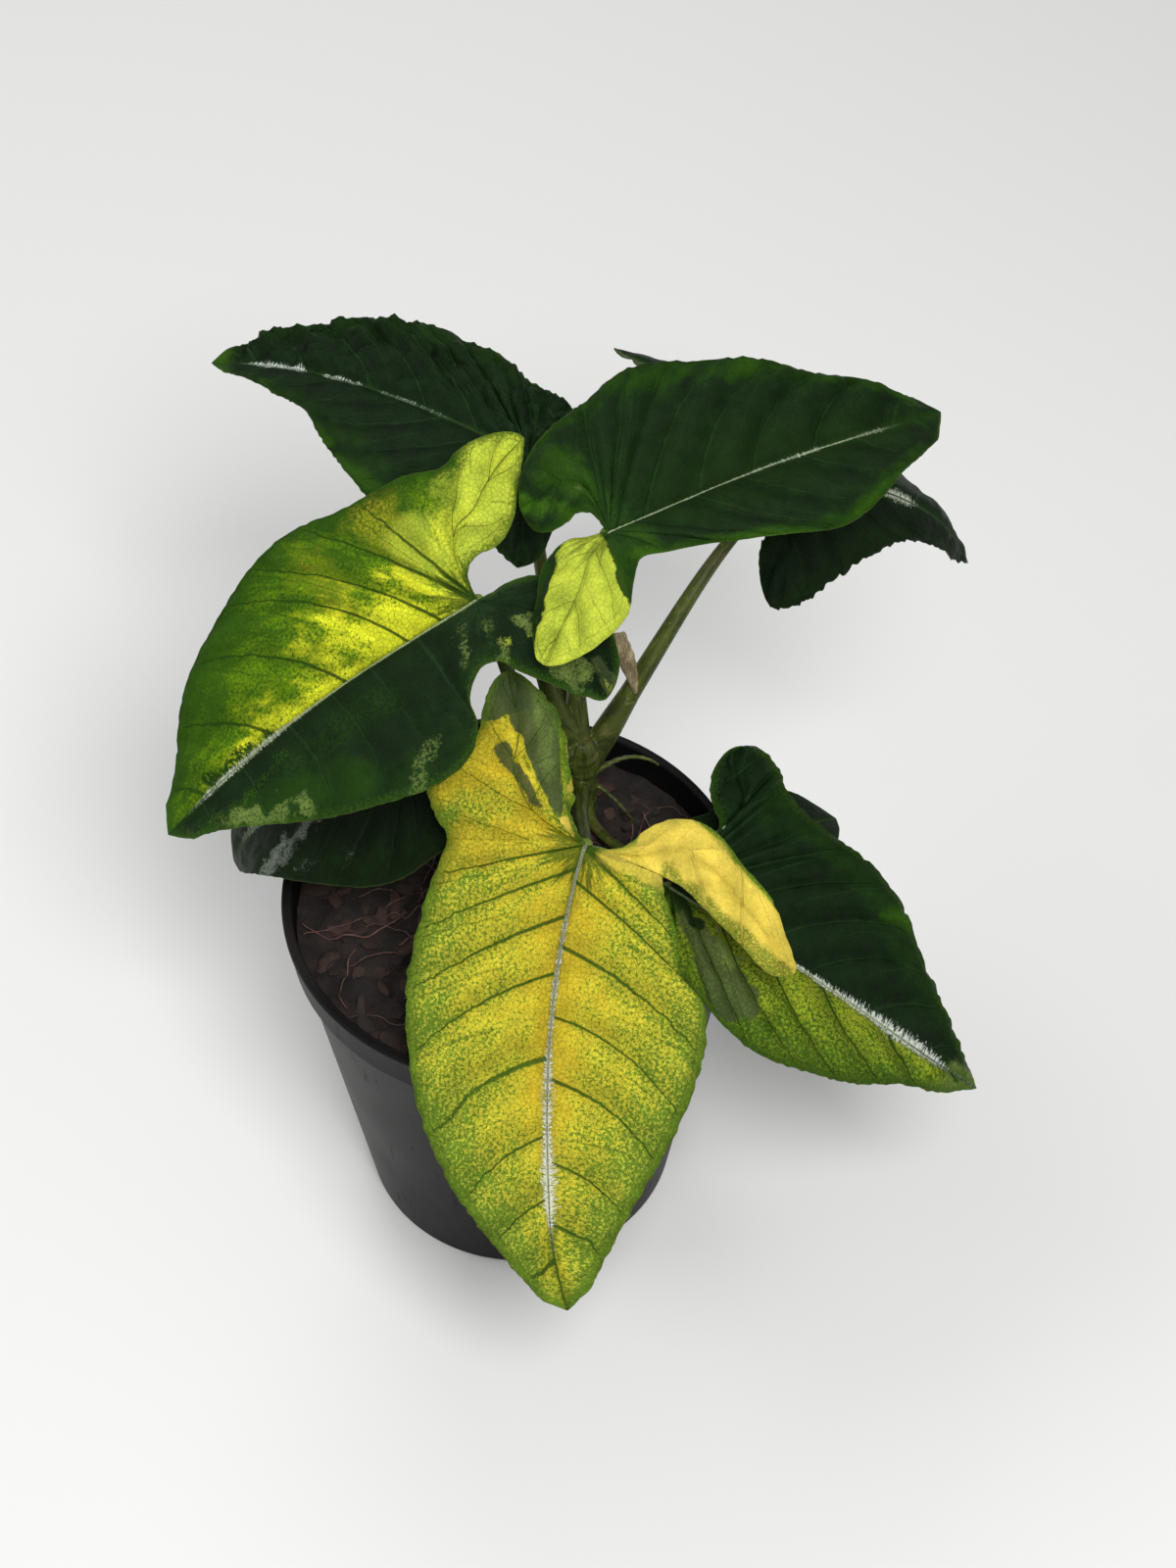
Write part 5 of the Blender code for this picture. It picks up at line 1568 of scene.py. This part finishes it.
@dataclass(frozen=True)
class Stem:
    """The short stem with its rings, the sheathing feet of the petioles and its first roots."""
    foliage: Foliage
    radius: float = 4.9
    top: float = 164.0
    depth: float = 22.0                  # of its foot in the soil
    nodes: tuple[float, ...] = (131.5, 135.5, 143.0, 150.5, 157.0)
    voxel: float = 0.42
    roots: tuple = (                     # four points of each root's curve from the sprout
        ((3, 1, 145), (9, 3, 152), (18, 6, 153), (25, 5, 146)),
        ((3, 1, 142), (9, -1, 139), (13, -4, 136), (17, -7, 131)),
        ((-3, 1, 140), (-9, 2, 139), (-12, 3, 135), (-15, 4, 131)),
    )
    finish: StalkFinish = StalkFinish(base=(0.056, 0.074, 0.012), dark=(0.020, 0.028, 0.006))

    def core(self) -> Mesh:
        """Upright body: radius with a low ring exp(-((z - node) / 1.1)^2) at each node."""
        z = np.linspace(SOIL_TOP - self.depth, self.top, 90)
        rings = sum(np.exp(-((z - at) / 1.1) ** 2) for at in self.nodes)
        size = self.radius - 0.55 + 0.5 * rings - 1.9 * np.clip((z - self.top + 4) / 4, 0, 1) ** 2
        path = np.column_stack([0 * z + SPROUT[0], 0 * z + SPROUT[1], z])
        return tube(path, size[:, None], 40)

    def foot(self, leaf: Leaf) -> Mesh:
        """A petiole's foot: its own radius with a sheath that thins out towards its end."""
        line, sheath = self.foliage.line(leaf), leaf.petiole.sheath
        run = np.linspace(0.0, sheath, 40)
        parts = run / curve_length(line)
        rest = (sheath - run) / sheath
        swell = 0.10 + 0.55 * np.sin(math.pi * np.clip(rest * 0.9, 0, 1)) ** 1.5
        radius = self.foliage.radii(leaf, parts) + swell[:, None]
        return tube(along_curve(line, parts), radius, self.foliage.sides)

    def root(self, route: tuple) -> Mesh:
        """A short root on a cubic curve from the stem."""
        path = bezier(*(np.array([a + SPROUT[0], b + SPROUT[1], z]) for a, b, z in route), 40)
        size = np.linspace(1.0, 0.55, 41) * (1 + 0.10 * np.sin(np.arange(41) * 1.3))
        return tube(path, size[:, None], 12)

    def build(self) -> None:
        """Join the tubes into one skin by a fine voxel remesh, which rounds the crotches."""
        parts = [self.core()] + [self.foot(leaf) for leaf in self.foliage.leaves]
        parts += [self.root(route) for route in self.roots]
        points, faces = merged(parts)
        piece = add_mesh("stem_skin", points * MM, faces)
        remesh = piece.modifiers.new("skin", "REMESH")
        remesh.mode, remesh.voxel_size, remesh.use_smooth_shade = "VOXEL", self.voxel * MM, True
        smooth = piece.modifiers.new("soften", "SMOOTH")
        smooth.factor, smooth.iterations = 0.5, 3
        settle(piece)
        place = np.empty(len(piece.data.vertices) * 3)
        piece.data.vertices.foreach_get("co", place)
        place = place.reshape(-1, 3) / MM
        about = np.arctan2(place[:, 1] - SPROUT[1], place[:, 0] - SPROUT[0]) / TURN
        run = np.column_stack([place[:, 2], np.abs(about) * 2, 0.3 + 0 * about])
        give(piece, "run", run, "POINT")
        declare(piece, self.finish, "stem", "stem")


@dataclass(frozen=True)
class DrySheath:
    """The dry, cupped strip whose point leans on the stout petiole of the far right leaf."""
    foliage: Foliage
    at: float = 0.26                     # share of the petiole's way where its foot is
    offset: tuple = (1.6, -3.4, 3.2)     # of its foot from the petiole's middle
    rise: tuple = (-7.0, 9.0, 19.0)      # from its foot to its point
    across: tuple = (0.93, -0.25, 0.26)
    cup: float = 0.35                    # depth of its hollow as a share of half its width
    thick: float = 0.35
    rows: int = 61
    columns: int = 25
    finish: EarthyFinish = EarthyFinish((0.10, 0.075, 0.035), (0.42, 0.34, 0.19), 120.0, 0.75,
                                        0.0003, (3.0, 3.0, 0.35))

    def build(self) -> None:
        """Strip centre(s) + half(s) (w across - cup w^2 back), creased and frayed at its sides."""
        leaf = next(x for x in self.foliage.leaves if x.name == "far_right")
        foot = along_curve(self.foliage.line(leaf), [self.at])[0] + np.array(self.offset)
        rise, across = np.array(self.rise), np.array(self.across)
        top = foot + rise
        line = bezier(foot, foot + rise * 0.35 + np.array((1.5, -1.0, 0)), top - rise * 0.3, top,
                      self.rows - 1)
        back = np.cross(across, unit(rise))
        s, w = np.meshgrid(np.linspace(0, 1, self.rows), np.linspace(-1, 1, self.columns),
                           indexing="ij")
        half = 0.5 + 3.0 * np.sin(math.pi * np.minimum(s * 0.62, 0.5))
        half -= 1.2 * np.maximum(0, s - 0.8)
        half *= 1 + 0.04 * np.sin(s * 41 + w) * (np.abs(w) > 0.9)
        crease = 0.10 * np.cos(w * 22) + 0.14 * np.sin(s * 13 + w * 3)
        flat = across * w[..., None] - back * self.cup * (w ** 2)[..., None]
        points = (line[:, None] + flat * half[..., None]
                  + back * (crease * half * 0.35)[..., None])
        piece = add_mesh("sheath_strip", points.reshape(-1, 3) * MM,
                         grid_quads(self.rows, self.columns))
        wall = piece.modifiers.new("thickness", "SOLIDIFY")
        wall.thickness, wall.offset = self.thick * MM, 0.0
        settle(piece)
        declare(piece, self.finish, "dry_sheath", "dry_sheath")


@dataclass(frozen=True)
class Soil:
    """Bark compost: an uneven body, loose chips on it and fine roots among them."""
    radius: float = 69.9
    rings: int = 84
    sides: int = 260
    chips: int = 420
    chips_within: float = 65.5           # mm from the pot's axis
    fibres: int = 90
    fibres_within: float = 62.0
    reach: float = 68.0                  # of the fibres' ends from the pot's axis
    stem_room: float = 8.0               # clear of loose matter around the stem
    seed: int = 11
    lower: tuple[Pair, ...] = ((69.9, 127.8), (67.7, 126.2), (50.9, 5.1), (48.9, 2.8))
    crumbs: EarthyFinish = EarthyFinish((0.003, 0.002, 0.0016), (0.022, 0.011, 0.008), 170.0)
    wood: EarthyFinish = EarthyFinish(
        (0.005, 0.003, 0.002), (0.040, 0.020, 0.013), 240.0, 0.85,
        tints=((0.008, 0.005, 0.0035), (0.055, 0.022, 0.014)))
    fibre: EarthyFinish = EarthyFinish((0.050, 0.021, 0.015), (0.17, 0.085, 0.065), 300.0, 0.7,
                                       0.0002)

    def height(self, place: np.ndarray) -> np.ndarray:
        """Top of the soil: slow waves, then crumbs of 9, 4 and 2 mm, and a rise at the wall.

        Args:
            place: (n, 2) places in mm.

        Returns:
            Its height there in mm.
        """
        u, v = place[:, 0], place[:, 1]
        slow = (np.sin(0.21 * u + 0.6) * np.cos(0.17 * v - 0.4)
                + 0.6 * np.sin(0.43 * u - 0.31 * v + 1.0) + 0.4 * np.cos(0.37 * u + 0.52 * v))
        crumbs = (0.8 * ripple(place, 9.0, 3) + 0.5 * np.abs(ripple(place, 4.0, 4))
                  + 0.25 * ripple(place, 2.0, 5))
        edge = np.clip((np.hypot(u, v) - 62) / 8, 0, 1)
        return SOIL_TOP + (1.1 * slow) * (1 - 0.7 * edge) + crumbs + 1.6 * edge ** 2

    def body(self) -> bpy.types.Object:
        """Make the disc of rings of the uneven top, with a wall and a floor inside the pot."""
        share = np.linspace(0, 1, self.rings + 1)[1:] ** 0.9
        angle = turns(self.sides)
        place = (share[:, None, None] * self.radius
                 * np.stack([np.cos(angle), np.sin(angle)], 1)[None]).reshape(-1, 2)
        top = np.column_stack([place, self.height(place)])
        wall = [np.column_stack([r * np.cos(angle), r * np.sin(angle), 0 * angle + z])
                for r, z in self.lower]
        poles = [[0, 0, float(self.height(np.zeros((1, 2)))[0])], [0, 0, self.lower[-1][1]]]
        faces = ring_faces(self.rings + len(wall), self.sides)[:, ::-1]
        return add_mesh("soil_top", np.vstack([top] + wall + [poles]) * MM, faces)

    def scattered(self, rng: np.random.Generator, count: int, spread: float) -> np.ndarray:
        """Draw places on the soil, evenly spread and clear of the stem.

        Args:
            rng: source of the random numbers.
            count: number of places.
            spread: greatest distance from the pot's axis in mm.

        Returns:
            (count, 2) places in mm.
        """
        r = spread * np.sqrt(rng.uniform(0, 1, count * 2))
        a = rng.uniform(0, TURN, count * 2)
        place = np.column_stack([r * np.cos(a), r * np.sin(a)])
        clear = np.hypot(place[:, 0] - SPROUT[0], place[:, 1] - SPROUT[1]) > self.stem_room
        return place[clear][:count]

    def chip(self) -> Mesh:
        """A chip of half size 1: an ellipsoid of 3 rings, squared off by |cos|^0.6."""
        lat, lon = np.linspace(-1, 1, 5)[1:-1], turns(8)
        ca, sa = (np.sign(x) * np.abs(x) ** 0.6 for x in (np.cos(lon), np.sin(lon)))
        ring = np.sqrt(1 - np.abs(lat) ** 3)[:, None]
        sides = np.stack([ring * ca, ring * sa, lat[:, None] + 0 * ca], 2).reshape(-1, 3)
        return np.concatenate([sides, [[0, 0, -0.9], [0, 0, 0.9]]]), ring_faces(3, 8)

    def bark(self) -> bpy.types.Object:
        """Make the chips, each of its own size and tint, roughened, tilted, turned and sunk in."""
        rng = np.random.default_rng(self.seed)
        place = self.scattered(rng, self.chips, self.chips_within)
        shape, faces = self.chip()
        n, corners = len(place), len(shape)
        size = np.column_stack([rng.uniform(1.6, 5.2, n), rng.uniform(1.0, 2.8, n),
                                rng.uniform(0.5, 1.5, n)])
        jag = 1 + rng.uniform(-0.22, 0.22, (n, corners, 3))
        x, y, z = np.moveaxis(shape[None] * jag * size[:, None], 2, 0)
        turn, tip = rng.uniform(0, TURN, n)[:, None], rng.uniform(-0.6, 0.6, n)[:, None]
        tilted, z = x * np.cos(tip) + z * np.sin(tip), z * np.cos(tip) - x * np.sin(tip)
        spun = np.stack([tilted * np.cos(turn) - y * np.sin(turn),
                         tilted * np.sin(turn) + y * np.cos(turn), z], 2)
        level = self.height(place) + size[:, 2] * 0.35
        points = spun + np.column_stack([place, level])[:, None]
        every = (faces[None] + (np.arange(n) * corners)[:, None, None]).reshape(-1, 3)
        piece = add_mesh("soil_bark", points.reshape(-1, 3) * MM, every)
        piece.data.shade_flat()
        tint = np.repeat(rng.uniform(0, 1, n) ** 1.6, corners)
        give(piece, "tint", np.column_stack([tint, tint, tint]), "POINT")
        return piece

    def roots(self) -> bpy.types.Object:
        """Make fine roots on level curves heading(s) = start + bend s + swing sin(7 s)."""
        rng = np.random.default_rng(self.seed + 1)
        parts = []
        s = np.linspace(0, 1, 25)
        for place in self.scattered(rng, self.fibres, self.fibres_within):
            length, heading = rng.uniform(12, 42), rng.uniform(0, TURN)
            turn = heading + rng.uniform(-2.2, 2.2) * s + rng.uniform(0, 0.7) * np.sin(7 * s)
            way = np.column_stack([np.cos(turn), np.sin(turn)]) * (length / 24)
            path = place + np.cumsum(way, axis=0)
            path *= np.minimum(1, self.reach / np.hypot(path[:, 0], path[:, 1]))[:, None]
            rise = rng.uniform(0.4, 2.4) * np.sin(math.pi * s * rng.uniform(1, 3)) ** 2
            line = np.column_stack([path, self.height(path) + 0.5 + rise])
            size = rng.uniform(0.22, 0.48) * (1 - 0.5 * s)
            parts.append(tube(line, size[:, None], 6))
        points, faces = merged(parts)
        return add_mesh("soil_roots", points * MM, faces)

    def build(self) -> None:
        declare(self.body(), self.crumbs, "soil", "soil")
        declare(self.bark(), self.wood, "soil")
        declare(self.roots(), self.fibre, "soil")


@dataclass(frozen=True)
class Pot:
    """The round nursery pot: tapered wall, stepped collar with a rolled rim, floor with drains."""
    height: float = 140.0
    rim: float = 74.0
    collar: float = 72.5
    collar_depth: float = 15.0
    wall_top: float = 70.0
    base: float = 53.0
    wall: float = 1.8
    floor: float = 2.5
    sides: int = 200
    drains: int = 8
    drain_radius: float = 4.5
    drain_circle: float = 41.0
    sharp: float = 35.0                  # degrees between two faces whose edge shows
    finish: PotFinish = PotFinish()

    def wall_radius(self, z: float) -> float:
        """Outer radius of the tapered wall at a height."""
        return self.base + (self.wall_top - self.base) * z / (self.height - self.collar_depth)

    def profile(self) -> np.ndarray:
        """(radius, height) from the floor's middle out, up the wall, over the rim and back in."""
        low, top, collar = self.height - self.collar_depth, self.height, self.collar
        wall, inside = self.wall_radius(low), self.collar - self.wall
        inner = self.base - self.wall
        corner = np.linspace(0, math.pi / 2, 7)
        foot = [(self.base - 2 + 2 * math.sin(a), 2 - 2 * math.cos(a)) for a in corner]
        roll = [(self.rim - 0.9 + 0.9 * math.cos(a), top - 1.0 + 1.0 * math.sin(a)) for a in corner]
        lip = [(inside + 0.8 - 0.8 * math.sin(a), top - 0.8 + 0.8 * math.cos(a)) for a in corner]
        return np.array(
            [(0.0, 2.0), (22.0, 2.0), (24.0, 0.0), (36.0, 0.0)] + foot
            + [(wall - 0.05, low - 0.9), (wall + 0.15, low - 0.2), (collar - 0.7, low + 0.35),
               (collar - 0.1, low + 0.8), (collar, low + 1.6), (collar, top - 4.0),
               (collar + 0.15, top - 3.5), (self.rim - 0.25, top - 2.7), (self.rim, top - 2.2)]
            + roll + lip
            + [(inside, top - 3), (inside, low + 2.8), (inside - 0.5, low + 2.0),
               (wall - self.wall + 0.3, low + 1.2), (wall - self.wall, low + 0.4),
               (inner, self.floor + 2), (inner - 0.6, self.floor + 0.6),
               (inner - 2, self.floor), (0.0, self.floor + 0.6)])

    def cutter(self) -> bpy.types.Object:
        """Make the round rods that cut the drains."""
        rods = []
        for turn in TURN * (np.arange(self.drains) + 0.5) / self.drains:
            x, y = self.drain_circle * math.cos(turn), self.drain_circle * math.sin(turn)
            path = np.array([(x, y, -5.0), (x, y, 0.0), (x, y, 10.0)])
            rods.append(tube(path, np.full((3, 1), self.drain_radius), 32))
        points, faces = merged(rods)
        return add_mesh("drains", points * MM, faces)

    def build(self) -> None:
        """Turn the profile about the axis and cut the drains through the floor."""
        line, angle = self.profile(), turns(self.sides)
        rings = line[1:-1]
        points = np.stack([rings[:, :1] * np.cos(angle), rings[:, :1] * np.sin(angle),
                           np.repeat(rings[:, 1:], self.sides, 1)], 2).reshape(-1, 3)
        points = np.vstack([points, [[0, 0, line[0, 1]], [0, 0, line[-1, 1]]]])
        piece = add_mesh("pot_wall", points * MM, ring_faces(len(rings), self.sides))
        cutter = self.cutter()
        cut = piece.modifiers.new("drains", "BOOLEAN")
        cut.object, cut.operation, cut.solver = cutter, "DIFFERENCE", "EXACT"
        settle(piece)
        bpy.data.objects.remove(cutter)
        piece.data.set_sharp_from_angle(angle=math.radians(self.sharp))
        declare(piece, self.finish, "pot", "pot")


@dataclass(frozen=True)
class Studio:
    """Pale floor, soft light from a bright surround and large lamps, and the camera."""
    camera_at: tuple[float, float, float] = (0.02375, -0.5848, 0.8894)
    down: float = 50.0                   # degrees by which the camera looks down
    film: float = 24.0                   # height of the picture behind the lens, in mm
    lens: float = 45.6                   # focal length in mm
    floor_half: float = 3.0
    floor_tone: Colour = (0.74, 0.735, 0.72)
    surround: float = 0.34
    sky: Colour = (0.95, 0.975, 1.0)
    aim: tuple[float, float, float] = (0.02, 0.03, 0.18)
    lamps: tuple = (                     # (place, size in m, watts)
        ((0.26, -0.78, 1.34), 0.6, 19.0),
        ((-1.2, 0.0, 1.1), 0.9, 6.0),
        ((-0.3, 1.2, 1.3), 0.9, 7.0),
    )

    def floor(self) -> None:
        x, y = np.meshgrid(*[np.array([-self.floor_half, self.floor_half])] * 2)
        floor = add_mesh("floor", np.column_stack([x.reshape(-1), y.reshape(-1), np.zeros(4)]),
                         np.array([[0, 1, 3, 2]]))
        g = Graph("floor")
        floor.data.materials.append(g.finish(
            self.floor_tone, g.noise(g.place(), 30.0) * 0.1 + 0.7))

    def lamp(self, name: str, place: tuple, size: float, power: float) -> None:
        """Hang a round lamp that faces the plant.

        Args:
            name: the lamp's name.
            place: where it hangs, in metres.
            size: its diameter in metres.
            power: watts.
        """
        light = bpy.data.lights.new(name, "AREA")
        light.shape, light.size, light.energy = "DISK", size, power
        lamp = bpy.data.objects.new(light.name, light)
        bpy.context.scene.collection.objects.link(lamp)
        lamp.location = place
        away = np.array(self.aim) - np.array(place)
        flat = math.hypot(away[0], away[1])
        lamp.rotation_euler = (math.atan2(flat, -away[2]), 0.0, math.atan2(-away[0], away[1]))

    def build(self) -> None:
        """Make the floor, the lamps, the world and the camera."""
        self.floor()
        for k, (place, size, power) in enumerate(self.lamps):
            self.lamp(f"lamp_{k}", place, size, power)
        world = bpy.data.worlds.new("surround")
        world.use_nodes = True
        bpy.context.scene.world = world
        back = world.node_tree.nodes["Background"]
        back.inputs["Color"].default_value = (*self.sky, 1.0)
        back.inputs["Strength"].default_value = self.surround
        lens = bpy.data.cameras.new("camera")
        lens.sensor_fit, lens.sensor_height, lens.lens = "VERTICAL", self.film, self.lens
        camera = bpy.data.objects.new("camera", lens)
        bpy.context.scene.collection.objects.link(camera)
        camera.location = self.camera_at
        camera.rotation_euler = (math.radians(90 - self.down), 0.0, 0.0)
        bpy.context.scene.camera = camera
        bpy.context.scene.view_settings.view_transform = "Standard"


def keep_sizes() -> None:
    """Bring the view layer up to date."""
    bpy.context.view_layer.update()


def main() -> None:
    """Build every piece in order."""
    logging.basicConfig(level=logging.INFO, format="%(message)s")
    Studio().build()
    foliage = Foliage(LEAVES)
    for maker in (Pot(), Soil(), Stem(foliage), DrySheath(foliage), foliage):
        LOG.info("building %s", type(maker).__name__)
        maker.build()
    keep_sizes()


if __name__ == "__main__":
    main()
